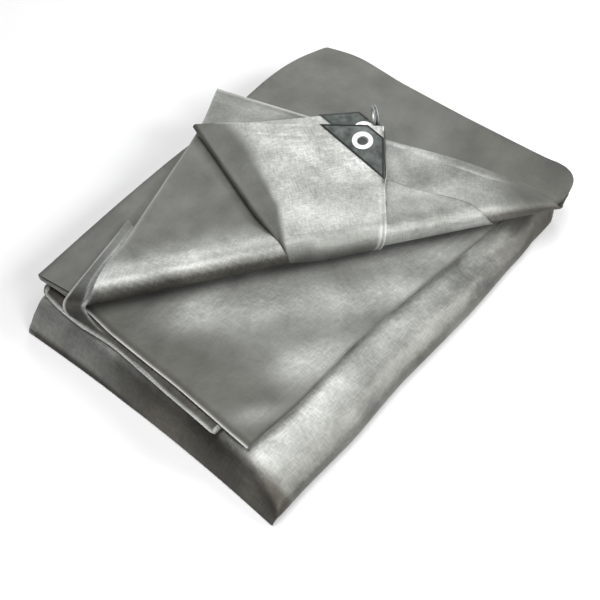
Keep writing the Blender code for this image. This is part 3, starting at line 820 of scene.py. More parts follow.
# Painted shade on the strip's outer side near its foot.
strip_painted_shade = 0.78 * span(strip_v, 0.42, 0.3)[None] * (strip_u < strip_line)
strip_hem[..., 2] += 0.5 * strip_bead
add_grid(strip_hem, strip_hem[..., :2], 0.45 + 0.5 * (strip_u > strip_line), strip_painted_shade, strip_bead)
print("hem strip", strip_hem.shape, "climbs from", round(strip_in[0, 2]), "to", round(strip_in[:, 2].max()))

# %% [markdown]
# The flap is the tarp's hemmed corner. It starts under the bend, goes round
# it and lies on top. It could be a flat plate on the stack, but the same
# bend carries it here, so its hems and weave run on round the bend. Its
# outline is drawn on the flat sheet: the first number runs along the bend,
# the second forward of the bend's axis.

# %% The flap's outline
FLAP_TUCK = -39.0
FLAP_HEM = [(36.9, 212.8), (12.3, 221.7), (-11.6, 232.6), (-35.5, 243.5), (-60.0, 252.4)]
FLAP_TOP_WAY = np.array([-0.9606, 0.2783])
FLAP_RIGHT_WAY = np.array([-0.283, -0.959])
FLAP_RIGHT_SLOPE = 0.295
FLAP_LEFT_SLOPE = 0.236
tip = np.array([-83.1, 259.1])
corner = np.array([123.66, 187.66])
flap_top = [tuple(tip)] + FLAP_HEM[::-1] + [tuple(corner)]
tuck_left = np.array([tip[0] + FLAP_LEFT_SLOPE * (tip[1] - FLAP_TUCK), FLAP_TUCK])
tuck_right = np.array([corner[0] - FLAP_RIGHT_SLOPE * (corner[1] - FLAP_TUCK), FLAP_TUCK])
flap_u = shares(200, 3.1, (0.8, 17.5, 19.0, 20.5))
flap_v = shares(262, 3.1, (0.8, 17.5, 19.0, 20.5))
flap_flat = sheet_grid([tuck_left, tuck_right], flap_top, [tuck_left, tip],
                       [tuck_right, corner], flap_u, flap_v)
flap_arc = math.pi * (AXIS_LEVEL - BEND_LEVEL["flap"])
print("flap grid", flap_flat.shape)

# %% [markdown]
# A sharp crease runs slanting across the flap, steep on its left and gentle
# on its right, and the hemmed corner lifts off the layers below. An edge
# loop could be pulled up by hand. Drawn as heights along and across the
# bend, both can be measured off the bundle and changed point by point.

# %% The flap's crease and its lifted corner
RIDGE = [(-50, 172), (-46, 150), (-35.9, 113.8), (-26.7, 65.8), (-21, 24.2), (-28, -22), (-31.9, -46.5)]
RIDGE_HEIGHT = 3.6
RIDGE_RIGHT = 62.0
RIDGE_FOOT = [(-32.0, -44.0), (-83.1, 175.7)]
LIFT_FROM = 80.0
LIFT_SOFT = 6.0
LIFT_SLOPE = 0.1727
# The flap's length round the bend, where its corner lies after the turn, and its level there.
FLAP_BEND = 51.8
FLAP_LEVEL = 2 * AXIS_LEVEL - BEND_LEVEL["flap"] - SINK["flap"]
LAID_CORNER = np.array([corner[0], AXIS_ACROSS + corner[1] - FLAP_BEND])


def along_at(across, rows):
    """Place along the bend of a line through points, where it is at across."""
    rows = sorted(rows, key=lambda row: row[1])
    return np.interp(across, [row[1] for row in rows], [row[0] for row in rows])


def ridge_lift(along, across):
    """Height that the flap's crease adds: steep on its left, gentle on its right."""
    middle = along_at(across, RIDGE)
    left = along_at(across, RIDGE_FOOT)
    rise = (along - left) / np.maximum(middle - left, 1.0)
    fall = 1.0 - (along - middle) / RIDGE_RIGHT
    return RIDGE_HEIGHT * smooth_step(np.where(along <= middle, rise, fall))


def corner_rise(along, across):
    """Height that the flap's hemmed corner gains toward its top hem."""
    from_hem = (along - LAID_CORNER[0]) * FLAP_RIGHT_WAY[0] + (across - LAID_CORNER[1]) * FLAP_RIGHT_WAY[1]
    run = LIFT_FROM - from_hem
    soft = np.clip(run + LIFT_SOFT, 0.0, 2 * LIFT_SOFT) ** 2 / (4 * LIFT_SOFT)
    run = np.where(run < LIFT_SOFT, soft, run)
    return LIFT_SLOPE * run * span(along, -60.0, 40.0)


print("flap rises at its corner by", round(float(corner_rise(*LAID_CORNER)), 1), "mm")

# %% [markdown]
# The flap now gets its relief while it is flat: hems, small creases, slow
# waves, and a dip where it joins the bend's left end. Under the dark patch
# it is smooth, because the welded plate holds it. Then it is turned over
# the bend, and the crease and the lift are added on top.

# %% The flap's relief and turn
FLAP_CREASES = [
    ([(30, 160), (60, 120), (70, 60)], -0.5, 7.0),
    ([(-10, 200), (10, 120), (20, 60)], -0.4, 6.0),
]
FLAP_DIP = 3.5
PATCH_LEGS = (78.0, 77.0)
flap_run = flap_flat[..., 1]
flap_left = flap_flat[..., 0] - (tip[0] + FLAP_LEFT_SLOPE * (tip[1] - flap_run))
from_corner = flap_flat - corner
under_patch = from_corner @ FLAP_TOP_WAY / PATCH_LEGS[0] + from_corner @ FLAP_RIGHT_WAY / PATCH_LEGS[1]
flap_relief = creases(flap_flat, FLAP_CREASES) + waves(flap_flat, 70.0, 0.3, 61)
flap_relief += hem(flap_flat, flap_top) + hem(flap_flat, [tuck_right, corner])
flap_relief -= FLAP_DIP * span(flap_left, 34.0, 0.0) * span(flap_run, flap_arc + 40.0, flap_arc)
flap_relief *= span(under_patch, 0.97, 1.03)
flap_plan = to_plane(flap_flat[..., 0], AXIS_ACROSS - flap_run)
flap = turn_back(flap_plan, BEND_LEVEL["flap"] - flap_relief, "flap")
turned_share = np.clip(2.0 * flap_run / flap_arc - 1.0, 0.0, 1.0)
flap_along = flap[..., :2] @ ALONG
flap_across = flap[..., :2] @ ACROSS
flap[..., 2] += ridge_lift(flap_along, flap_across) * turned_share
flap[..., 2] += corner_rise(flap_along, flap_across) * (flap_run > flap_arc)
print("flap reaches", flap[..., 2].max().round(1), "mm")

# %% [markdown]
# The flap is painted dull left of its crease and bright right of it, with
# painted highlights beside the crease, worn hems, and painted brown shade
# under the bend and along its left fold. It is darkest in a strip beside the
# top patch and in a line inside its right hem. The crease's own bend gives
# some of that by itself, and the painted light and shade add the rest: place
# along and across, size and strength of each spot.

# %% The flap's finish
FLAP_PAINTED_HIGHLIGHTS = [
    (-13, 118, 17, 0.75), (-13, 148, 15, 0.65), (-6, 84, 17, 0.7), (-4, 51, 14, 0.6), (2, 16, 14, 0.55),
    (50, 90, 28, 0.25), (30, -20, 22, 0.3), (70, -16, 24, 0.25), (20, 120, 22, 0.25),
]
ridge_soft = 9.0 + 13.0 * span(flap_across, 40.0, 130.0)
right_of_ridge = smooth_step((flap_along - along_at(flap_across, RIDGE) + 5.0) / ridge_soft)
past_bend = span(flap_run, 0.8 * flap_arc, 0.8 * flap_arc + 20.0)
# Where the flap is painted lit: right of its crease and past the bend.
painted_light_share = right_of_ridge * past_bend
flap_painted_light = 0.12 + 0.83 * right_of_ridge * (0.4 + 0.6 * past_bend)
hem_gap, _ = line_distance(flap_flat, [tuck_right, corner])
beside_patch = (under_patch < 1.06) & (flap_run < corner[1] - 6.0)
# Painted shade under the bend and along the left fold, darkest beside the top patch and inside the right
# hem.
flap_painted_shade = np.max([
    0.5 * span(flap_run / flap_arc, 0.72, 0.5),
    0.7 * span(flap_left, 2.6, 0.0),
    1.0 * (beside_patch & (hem_gap < 2.0)),
    0.6 * near(hem_gap - 2.6, 0.9) * past_bend,
], axis=0)
WELD_LINE = np.array([-6.0, 0.0])
# Worn hems and painted highlights.
flap_wear_and_painted_highlight = [
    bead_along(flap_flat, [tuck_right, corner], strength=0.85) * (1.0 - beside_patch),
    bead_along(flap_flat, [tuck_right + WELD_LINE, corner + WELD_LINE], strength=0.55),
    bead_along(flap_flat, flap_top[1:], strength=0.4),
    0.28 * painted_light_share,
]
for along, across, size, strength in FLAP_PAINTED_HIGHLIGHTS:
    flap_wear_and_painted_highlight.append(strength * near(np.hypot(flap_along - along, flap_across - across), size) * painted_light_share)
add_grid(flap, flap_flat, flap_painted_light, flap_painted_shade, np.max(flap_wear_and_painted_highlight, axis=0))
print("rubbed spots on the flap", len(FLAP_PAINTED_HIGHLIGHTS))

# %% [markdown]
# Below the flap lies its second half, joined to it by a fold along the left
# edge. It mostly shows as a dark gap and a slim edge with the lower patch
# on it. It could be a copy of the flap moved down, but a copy would cut
# through the turned layers, so its level is found between them and the
# flap, and only its right edge is drawn.

# %% The lower flap
TURNED_CREST = 2 * AXIS_LEVEL - BEND_LEVEL["turned_lower"]
UNDER_RIGHT = [(74, -30), (80, 5), (93, 33), (104, 71), (114, 104), (118, 124), (115, 138), (109.5, 150.5)]
GAP_LEAST, GAP_MOST = 0.4, 4.0


def under_height(run, above):
    """Level of the lower flap: between the turned layer and what lies above."""
    turned_level = TURNED_CREST - SINK["turned_lower"] * span(run, 0.0, SETTLE_RUN)
    return turned_level + np.minimum(GAP_MOST, 0.5 * np.maximum(above - turned_level, GAP_LEAST))


past_arc = flap_run[0] > flap_arc
left_edge = flap[0, past_arc]
left_run = flap_run[0, past_arc] - flap_arc
under_edge = left_edge.copy()
under_edge[:, 2] = under_height(left_run, left_edge[:, 2])
under_out = to_plane(np.array(-1.0), np.array(-FLAP_LEFT_SLOPE))
under_out = np.append(under_out / np.linalg.norm(under_out), 0.0)
fold = half_turn(under_edge, left_edge, under_out)
# The fold along the flap's left edge carries painted shade.
add_grid(fold, fold[..., :2], 0.2, 0.75)
under_share = left_run / left_run[-1]
right_line = smooth_line(UNDER_RIGHT, under_share)
right_edge = to_plane(right_line[:, 0], right_line[:, 1])
under_u = shares(190, 4.0, (0.8, 18.5, 20.0, 21.5))
under_plan = ((1 - under_u)[:, None, None] * under_edge[None, :, :2]
              + under_u[:, None, None] * right_edge[None])
right_height = under_height(left_run, FLAP_LEVEL + SINK["flap"] * span(left_run, SETTLE_RUN, 0.0))
right_weight = smooth_step(under_u * 5.0)[:, None]
under_level = (1 - right_weight) * under_edge[None, :, 2] + right_weight * right_height[None]
under_level = under_level + waves(under_plan, 60.0, 0.2, 63) * right_weight
under = np.concatenate([under_plan, under_level[..., None]], axis=-1)
add_grid(under, under_plan, 0.9)
print("lower flap", under.shape)

# %% [markdown]
# Right of the flap a doubled strip of the sheet goes round the bend too,
# and a narrow part of it stands on edge and carries the upright patch. The
# strip could be part of the flap's grid, but its edges slant the other way,
# so it has lines of its own. The part on edge is a table: its place along
# and across, its foot, its top and how far it leans.

# %% The doubled strip and the upright edge
DOUBLER_LEFT = [(66, 16), (79, 60), (88, 108)]
DOUBLER_RIGHT = [(206, 16), (186, 46), (150, 82), (112, 118)]
UPRIGHT = [(113.9, 69.5, 69.7, 86.0, -0.15), (111.8, 60, 69.7, 85.0, -0.10),
           (104.9, 35, 70.0, 81.0, 0.0), (101.0, 27, 70.5, 80.0, 0.0), (94.5, 2, 75.2, 80.5, 0.0)]
LEAN_LEVEL = 78.0


def standing_strip(table, rise):
    """Grid of a strip on edge, from rows of along, across, foot, top and lean."""
    along, across, foot, top, lean = (table[:, None, k] for k in range(5))
    level = foot + (top - foot) * rise[None]
    plan = to_plane(along - lean * (level - LEAN_LEVEL), across + 0 * level)
    return np.concatenate([plan, level[..., None]], axis=-1)


doubler_u = shares(70, 3.0, (0.8, 9.0, 10.5))
doubler_v = shares(90, 3.0, (0.8,))
doubler_left = smooth_line(DOUBLER_LEFT, doubler_v)
doubler_right = smooth_line(DOUBLER_RIGHT, doubler_v)
doubler_flat = ((1 - doubler_u)[:, None, None] * doubler_left[None]
                + doubler_u[:, None, None] * doubler_right[None])
doubler_plan = to_plane(doubler_flat[..., 0], AXIS_ACROSS - doubler_flat[..., 1])
doubler_relief = hem(doubler_flat, DOUBLER_RIGHT, width=9.0, rise=0.3)
doubler = turn_back(doubler_plan, BEND_LEVEL["doubler"] - doubler_relief, "doubler")
# The doubled strip's right hem carries a thin painted shadow line.
add_grid(doubler, doubler_flat, 0.7, bead_along(doubler_flat, DOUBLER_RIGHT, strength=0.55))
upright_table = smooth_line(UPRIGHT, np.linspace(0.0, 1.0, 30))
upright = standing_strip(upright_table, np.linspace(0.0, 1.0, 8))
upright_flat = np.stack([upright_table[:, None, 1] + 0 * upright[..., 2], upright[..., 2]], axis=-1)
add_grid(upright, upright_flat, 0.8)
print("doubled strip", doubler.shape, "upright edge", upright.shape)

# %% [markdown]
# The eyelets go right through the corners, so the cloth has a hole under
# each. A Boolean on thin cloth often leaves slivers. Here the few quads
# inside each flange are left out instead, and the flange covers the ragged
# rim. Where each eyelet sits is read from the CAD nodes.

# %% All parts in one set of places, with holes for the eyelets
EYELETS = {}
for name in ("eyelet_1", "eyelet_2", "eyelet_3"):
    low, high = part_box(name)
    EYELETS[name] = (np.array(low) + np.array(high)) / 2.0
HOLE_CLEAR = 7.4
HOLE_DEEP = 2.4

places = np.concatenate(sheet_rows["places"])
flat = np.concatenate(sheet_rows["flat"])
faces = np.concatenate(sheet_rows["faces"])
finish = {name: np.concatenate(sheet_rows[name]) for name in FINISHES}
places = (places + CENTRE) * MM
holed = np.linalg.norm(places - EYELETS["eyelet_3"], axis=1) < HOLE_CLEAR * MM
for name in ("eyelet_1", "eyelet_2"):
    offset = np.abs(places - EYELETS[name])
    holed |= (np.hypot(offset[:, 0], offset[:, 1]) < HOLE_CLEAR * MM) & (offset[:, 2] < HOLE_DEEP * MM)
faces = faces[~holed[faces].any(axis=1)]
print("sheet points", len(places), "in the holes", int(holed.sum()))

# %% [markdown]
# Cloth that is computed as rows of places has to become a mesh. Adding
# vertices one by one in edit mode would take minutes, so the whole mesh is
# made from its lists at once. The flat places become a UV map named weave,
# and the finishes become attributes that the material reads.


# %% A mesh from places
def make_mesh(name, places, faces, flat=None, finish=None):
    """Object from places in metres and faces, with its weave places as a UV map."""
    data = bpy.data.meshes.new(name)
    data.from_pydata([tuple(place) for place in places], [], [tuple(int(i) for i in face) for face in faces])
    if flat is not None:
        layer = data.uv_layers.new(name="weave")
        corners = np.empty(len(data.loops), dtype=np.int32)
        data.loops.foreach_get("vertex_index", corners)
        layer.data.foreach_set("uv", (flat[corners] * MM).ravel())
    for label, values in (finish or {}).items():
        data.attributes.new(label, "FLOAT", "POINT").data.foreach_set("value", values)
    item = bpy.data.objects.new(name, data)
    bpy.context.scene.collection.objects.link(item)
    return item


print("finishes kept on the points", list(finish))

# %% [markdown]
# The parts now become one object. Points that lie in the same spot are
# welded, so light shades evenly over the joins, and all faces are turned
# outward before the sheet gets its thickness. Extruding would thicken it
# too, but Solidify also closes every rim, so each hem shows a real edge.
# The sheet is drawn 1.1 mm thick, thicker than real, so its edges show.


# %% One mesh for the sheet
def work_on(item):
    """Make one object the only selected and active one."""
    bpy.ops.object.select_all(action="DESELECT")
    item.select_set(True)
    bpy.context.view_layer.objects.active = item


def merge(item, distance):
    """Weld doubled vertices and turn every face outward."""
    mesh = bmesh.new()
    mesh.from_mesh(item.data)
    bmesh.ops.remove_doubles(mesh, verts=mesh.verts, dist=distance)
    loose = [vertex for vertex in mesh.verts if not vertex.link_faces]
    bmesh.ops.delete(mesh, geom=loose, context="VERTS")
    bmesh.ops.recalc_face_normals(mesh, faces=mesh.faces)
    mesh.to_mesh(item.data)
    mesh.free()


SHEET = 1.1


def thicken(item, thickness, offset):
    """Give a thin mesh its thickness, in its own units."""
    work_on(item)
    solid = item.modifiers.new("thickness", "SOLIDIFY")
    solid.thickness = thickness
    solid.offset = offset
    bpy.ops.object.modifier_apply(modifier=solid.name)


tarp = make_mesh("tarp_sheet", places, faces, flat, finish)
merge(tarp, 0.00002)
thicken(tarp, SHEET * MM, 0.0)
bpy.ops.object.shade_smooth_by_angle(angle=math.radians(38))
tarp.data.calc_loop_triangles()
print("tarp sheet triangles", len(tarp.data.loop_triangles))

# %% [markdown]
# Every material starts from a Principled shader and a few nodes. They could
# be placed in the editor by hand. One helper adds any node with its values
# and links, and one turns the hex codes that a colour picker shows into the
# linear colours that Blender works with.


# %% Colours and nodes
def srgb(code):
    """Linear colour from an sRGB hex code."""
    values = [int(code[i:i + 2], 16) / 255.0 for i in (1, 3, 5)]
    linear = [v / 12.92 if v <= 0.04045 else ((v + 0.055) / 1.055) ** 2.4 for v in values]
    return (*linear, 1.0)


def add_node(tree, kind, settings=None, links=None):
    """Add a node, set its values and link its inputs."""
    node = tree.nodes.new(kind)
    for key, value in (settings or {}).items():
        if key in node.inputs:
            node.inputs[key].default_value = value
        else:
            setattr(node, key, value)
    for key, source in (links or {}).items():
        tree.links.new(source, node.inputs[key])
    return node


def new_material(name):
    """A material with its node tree and its Principled shader."""
    made = bpy.data.materials.new(name)
    made.use_nodes = True
    return made, made.node_tree, made.node_tree.nodes["Principled BSDF"]


print("mid grey, linear", round(srgb("#808080")[0], 3))

# %% [markdown]
# The cloth is woven polyethylene tape with a silver coating: a grey that is
# part metallic and satin. Where it is dull the coating is thin and warm
# grey, where it is smooth it is nearly silver, and worn rims show pale. The
# marks also paint light on it: the silver tone paints light, the brown tone
# paints dirt and shade, and the pale tone paints highlights as well as worn
# rims. One flat colour would look like paper, so each of the four tones runs
# between two codes with a cloudy noise of about 60 mm, and the sheet's own
# marks mix them.

# %% Silver coated woven polyethylene: its tones
CLOUD_SCALE = 16.0
silver, tree, shader = new_material("silver coated woven polyethylene")
spots = add_node(tree, "ShaderNodeUVMap", {"uv_map": "weave"}).outputs["UV"]
marks = {}
for name in FINISHES:
    marks[name] = add_node(tree, "ShaderNodeAttribute", {"attribute_name": name}).outputs["Fac"]
clouds = add_node(tree, "ShaderNodeTexNoise", {"Scale": CLOUD_SCALE, "Detail": 5.0}, {"Vector": spots})
tones = {}
for name, low, high in (
    ("dull", "#585953", "#676862"), ("coat_and_painted_light", "#8f918c", "#dcded9"),
    ("dirt_and_painted_shade", "#2b2721", "#514c43"), ("worn", "#d4d5d1", "#eeefec"),
):
    ramp = add_node(tree, "ShaderNodeValToRGB", {}, {"Fac": clouds.outputs["Fac"]})
    for stop, position, code in zip(ramp.color_ramp.elements, (0.3, 0.75), (low, high)):
        stop.position = position
        stop.color = srgb(code)
    tones[name] = ramp.outputs["Color"]
tone = tones["dull"]
# Shine mixes in the silver tone as painted light, soil the brown tone as dirt and painted shade, bead the
# pale tone as wear and painted highlights.
for mark, name in (("shine_and_painted_light", "coat_and_painted_light"), ("soil_and_painted_shade", "dirt_and_painted_shade"), ("wear_and_painted_highlight", "worn")):
    mixed = add_node(tree, "ShaderNodeMix", {"data_type": "RGBA"}, {0: marks[mark], 6: tone, 7: tones[name]})
    tone = mixed.outputs[2]
print("tones", list(tones))

# %% [markdown]
# The weave shows as fine threads in both directions. An image of woven
# cloth would repeat, and two wave textures would look ruled. Noise that is
# stretched five times along each direction gives streaks of uneven tape.
# Real tape is about 1.5 mm wide. It is drawn 1.8 mm wide, a little coarser,
# so it shows in the render. The streaks are faint on dull coating and
# stronger where it shines.

# %% The weave's threads
TAPE = 0.0018
STRETCH = 0.2
threads = {}
for number, (in_x, in_y) in enumerate(((1.0, STRETCH), (STRETCH, 1.0))):
    scale = (in_x / TAPE, in_y / TAPE, 1.0)
    laid_along = add_node(tree, "ShaderNodeMapping", {"Scale": scale}, {"Vector": spots})
    streak = add_node(tree, "ShaderNodeTexNoise", {"Scale": 1.0, "Detail": 2.0},
                      {"Vector": laid_along.outputs["Vector"]})
    threads[number] = streak.outputs["Fac"]
cloth = add_node(tree, "ShaderNodeMath", {"operation": "ADD"}, threads).outputs["Value"]
limits = {"Value": cloth}
for limit, on_dull, on_shine in (("To Min", 0.985, 0.74), ("To Max", 1.01, 1.19)):
    limits[limit] = add_node(tree, "ShaderNodeMapRange", {"To Min": on_dull, "To Max": on_shine},
                             {"Value": marks["shine_and_painted_light"]}).outputs["Result"]
shade = add_node(tree, "ShaderNodeMapRange", {"From Min": 0.75, "From Max": 1.3}, limits)
woven = add_node(tree, "ShaderNodeVectorMath", {"operation": "SCALE"},
                 {0: tone, "Scale": shade.outputs["Result"]})
tree.links.new(woven.outputs["Vector"], shader.inputs["Base Color"])
print("tape width", round(TAPE / MM, 1), "mm")

# %% [markdown]
# Smooth coating is a bit glossier and more metallic than worn coating. A
# soft crumple, about 30 mm wide, bends its reflections, and the threads
# give it a fine tooth. Both are too shallow to model, so they are bump.

# %% The coating's gloss and fine relief
CRUMPLE_SCALE = 30.0
for socket, on_dull, on_shine in (("Roughness", 0.58, 0.5), ("Metallic", 0.35, 0.85)):
    change = add_node(tree, "ShaderNodeMapRange", {"To Min": on_dull, "To Max": on_shine},
                      {"Value": marks["shine_and_painted_light"]})
    tree.links.new(change.outputs["Result"], shader.inputs[socket])
crumple = add_node(tree, "ShaderNodeTexNoise", {"Scale": CRUMPLE_SCALE, "Detail": 4.0}, {"Vector": spots})
soft = add_node(tree, "ShaderNodeBump", {"Strength": 0.42, "Distance": 0.006},
                {"Height": crumple.outputs["Fac"]})
fine = add_node(tree, "ShaderNodeBump", {"Strength": 0.16, "Distance": 0.0006},
                {"Height": cloth, "Normal": soft.outputs["Normal"]})
tree.links.new(fine.outputs["Normal"], shader.inputs["Normal"])
tarp.data.materials.append(silver)
print("nodes in the cloth's material", len(tree.nodes))

# %% [markdown]
# The corner patches are plates of dark moulded polyethylene, satin, with a
# mottle from handling and a nearly black rim along some of their sides. The
# rim could be a piece of its own, but a mark on the plate's points keeps it
# one plate. Its grain is about 1 mm, coarser than the real one, so it shows.

# %% Dark moulded polyethylene
MOTTLE_SCALE = 110.0
GRAIN_SCALE = 900.0
slate, tree, shader = new_material("dark moulded polyethylene")
spots = add_node(tree, "ShaderNodeTexCoord").outputs["Object"]
mottle = add_node(tree, "ShaderNodeTexNoise", {"Scale": MOTTLE_SCALE, "Detail": 7.0}, {"Vector": spots})
ramp = add_node(tree, "ShaderNodeValToRGB", {}, {"Fac": mottle.outputs["Fac"]})
for stop, position, code in zip(ramp.color_ramp.elements, (0.3, 0.72), ("#2c3231", "#636965")):
    stop.position = position
    stop.color = srgb(code)
black_rim = add_node(tree, "ShaderNodeAttribute", {"attribute_name": "rim"}).outputs["Fac"]
face = add_node(tree, "ShaderNodeMix", {"data_type": "RGBA"}, {0: black_rim, 6: ramp.outputs["Color"]})
face.inputs[7].default_value = srgb("#0c0d0e")
tree.links.new(face.outputs[2], shader.inputs["Base Color"])
grain = add_node(tree, "ShaderNodeTexNoise", {"Scale": GRAIN_SCALE, "Detail": 2.0}, {"Vector": spots})
tooth = add_node(tree, "ShaderNodeBump", {"Strength": 0.2, "Distance": 0.0003},
                 {"Height": grain.outputs["Fac"]})
tree.links.new(tooth.outputs["Normal"], shader.inputs["Normal"])
shader.inputs["Roughness"].default_value = 0.42
print("mottle of about", round(1 / MOTTLE_SCALE / MM), "mm")

# %% [markdown]
# A flat patch has straight cut sides. Its outline could be typed in as a
# face, but bisect works like the knife that cuts the real one: it takes off
# all of a plane that lies outside a side, one side after the other. It wants
# a normal of unit length that points to the waste.

# %% Cutting a patch's sides
PLANE = 400.0


def cut_sides(outline):
    """Cut the plane in edit mode down to an outline, side by side."""
    middle = np.mean(outline, axis=0)
    for here, there in zip(outline, outline[1:] + outline[:1]):
        run = np.subtract(there, here)
        normal = np.array([run[1], -run[0]]) / np.linalg.norm(run)
        if (middle - here) @ normal > 0:
            normal = -normal
        bpy.ops.mesh.select_all(action="SELECT")
        bpy.ops.mesh.bisect(plane_co=(*here, 0.0), plane_no=(*normal, 0.0), clear_outer=True)
    bpy.ops.mesh.select_all(action="SELECT")


print("a patch starts as a square plane of", PLANE, "mm")

# %% [markdown]
# The cut plate then gets what moulding gives the real one: a slim raised
# border, some thickness, a hole for its eyelet and softened edges. All of it
# could be modelled by hand in edit mode. Two insets make the border, and
# modifiers do the rest the same way on every plate. A mark on the border's
# points tells the material which sides are black.

# %% Finishing a plate
DRILL_RADIUS = 7.2
PLATE = 0.7
BORDER = 2.2
BORDER_STEP = 0.25
BORDER_SLOPE = 0.5
EDGE_ROUND = 0.2


def mark_rim(item, outline, dark_sides):
    """Mark the border along the sides that are black."""
    spots = np.array([vertex.co[:2] for vertex in item.data.vertices])
    from_side = np.min([line_distance(spots, [outline[a], outline[b]])[0] for a, b in dark_sides], axis=0)
    rim = (from_side < BORDER + BORDER_SLOPE / 2).astype(float)
    item.data.attributes.new("rim", "FLOAT", "POINT").data.foreach_set("value", rim)


def cut_plate(name, outline, hole, dark_sides):
    """Flat plate over an outline in millimetres, with a round hole, a raised border and black sides."""
    bpy.ops.object.select_all(action="DESELECT")
    bpy.ops.mesh.primitive_plane_add(size=PLANE, location=(*np.mean(outline, axis=0), 0.0))
    item = bpy.context.active_object
    item.name = name
    bpy.ops.object.transform_apply(location=True)
    bpy.ops.object.mode_set(mode="EDIT")
    cut_sides(outline)
    bpy.ops.mesh.inset(thickness=BORDER)
    bpy.ops.mesh.inset(thickness=BORDER_SLOPE, depth=-BORDER_STEP)
    bpy.ops.object.mode_set(mode="OBJECT")
    thicken(item, PLATE, -1.0)
    bpy.ops.mesh.primitive_cylinder_add(vertices=48, radius=DRILL_RADIUS, depth=8.0, location=(*hole, 0.0))
    drill = bpy.context.active_object
    work_on(item)
    cut = item.modifiers.new("hole", "BOOLEAN")
    cut.object = drill
    cut.operation = "DIFFERENCE"
    cut.solver = "EXACT"
    bpy.ops.object.modifier_apply(modifier=cut.name)
    bpy.data.objects.remove(drill, do_unlink=True)
    soften = item.modifiers.new("soft edges", "BEVEL")
    soften.width = EDGE_ROUND
    soften.segments = 2
    soften.limit_method = "ANGLE"
    soften.angle_limit = math.radians(50)
    bpy.ops.object.modifier_apply(modifier=soften.name)
    bpy.ops.object.shade_smooth_by_angle(angle=math.radians(30))
    mark_rim(item, outline, dark_sides)
    item.data.materials.append(slate)
    return item


print("plates are", PLATE, "mm thick")

# %% [markdown]
# A plate is finished flat and then laid on the cloth. Moving it as an object
# would leave its place outside the mesh, and the export wants every place
# inside it. So each point asks where on the bundle it belongs.


# %% Laying a plate
def lay(item, place):
    """Move every vertex of a flat piece to its place on the bundle, in metres."""
    for vertex in item.data.vertices:
        spot = np.array(place(vertex.co.x, vertex.co.y, vertex.co.z))
        vertex.co = (spot + CENTRE) * MM
    item.data.update()


print("every place moves by", [float(c) for c in CENTRE], "mm to the shared frame")

# %% [markdown]
# The top patch covers the flap's corner. It is drawn flat with the hem
# along x and the flap's right edge along y, and then laid on the flap, as
# high as the flap's own lift. It could be moved and turned as an object,
# but the flap curves up to its hem, so every point is placed by itself.

# %% The top patch
TOP_LEG, RIGHT_LEG = 74.0, 73.5
TOP_CUT, RIGHT_CUT = 18.6, 18.0
SIDE_IN = 0.4
PATCH_OVER = 0.62
outline = [(TOP_CUT, SIDE_IN), (TOP_LEG, SIDE_IN), (SIDE_IN, RIGHT_LEG), (SIDE_IN, RIGHT_CUT)]
TOP_EYELET = (24.6, 22.0)
patch_1 = cut_plate("top_corner_patch", outline, TOP_EYELET, [(0, 1), (2, 3)])


def on_flap(x, y, z):
    """Place on the flap of a point x along its hem and y along its right edge."""
    spot = LAID_CORNER + FLAP_TOP_WAY * x + FLAP_RIGHT_WAY * y
    level = FLAP_LEVEL + float(corner_rise(*spot)) + PATCH_OVER + PLATE + z
    return *(ALONG * spot[0] + ACROSS * spot[1]), level


lay(patch_1, on_flap)
print("top patch corners", len(outline))

# %% [markdown]
# The lower patch lies flat on the lower flap, under the top one, so only a
# slim part of it shows. A plain strip would do from the photo's side, but
# from behind its whole outline shows, so it is cut like the first.

# %% The lower patch
UNDER_LEVEL = 73.3
UNDER_OUTLINE = [(62.0, 158.6), (109.5, 151.2), (116, 137), (119.5, 124), (116, 104), (106.4, 71.2)]
UNDER_EYELET = (106.4, 121.7)
patch_2 = cut_plate("lower_corner_patch", UNDER_OUTLINE, UNDER_EYELET, [(0, 1), (1, 2)])


def on_under(x, y, z):
    """Place on the lower flap of a point x along and y across the bend."""
    return *(ALONG * x + ACROSS * y), UNDER_LEVEL + PATCH_OVER + PLATE + z


lay(patch_2, on_under)
print("lower patch corners", len(UNDER_OUTLINE))

# %% [markdown]
# The third patch stands on edge beside the flap and ends in a round tab
# with its eyelet. It could be cut flat and bent by a modifier. A table of
# its foot and top along the bend is simpler, because it follows the upright
# edge of the cloth below it.

# %% The upright patch's shape
UPRIGHT_PATCH = [
    (114.6, 70.0, 71.6, 80.5, -0.151), (120.4, 90.0, 71.4, 82.0, -0.151),
    (124.3, 104.3, 71.4, 83.0, -0.151), (124.7, 112.4, 69.0, 83.2, -0.151),
    (124.4, 125.8, 66.8, 81.0, -0.151), (124.2, 128.0, 66.2, 85.0, -0.151),
    (124.0, 131.0, 65.4, 87.8, -0.151), (123.7, 134.0, 65.0, 89.0, -0.151),
    (123.5, 137.4, 65.0, 89.6, -0.151), (123.2, 141.0, 65.2, 88.9, -0.151),
    (122.9, 144.5, 66.8, 87.2, -0.151), (122.7, 147.6, 70.2, 83.6, -0.151),
    (122.6, 149.0, 75.4, 79.6, -0.151),
]
TAB_FROM = 123.5
strip_across = np.concatenate([np.linspace(70.0, 122.0, 16), np.linspace(TAB_FROM, 149.0, 26)])
strip_table = np.stack([np.interp(strip_across, [row[1] for row in UPRIGHT_PATCH],
                                  [row[k] for row in UPRIGHT_PATCH]) for k in range(5)], axis=1)
strip = standing_strip(strip_table, np.linspace(0.0, 1.0, 20))
print("upright patch grid", strip.shape)

# %% [markdown]
# The tab and its eyelet are turned a little about the line that they stand
# on, so they show almost edge-on, as cloth that is pinched there twists. An
# object rotation would turn the whole strip. Here the turn grows from the
# strip's plain part to the tab, so the strip twists and doesn't break.

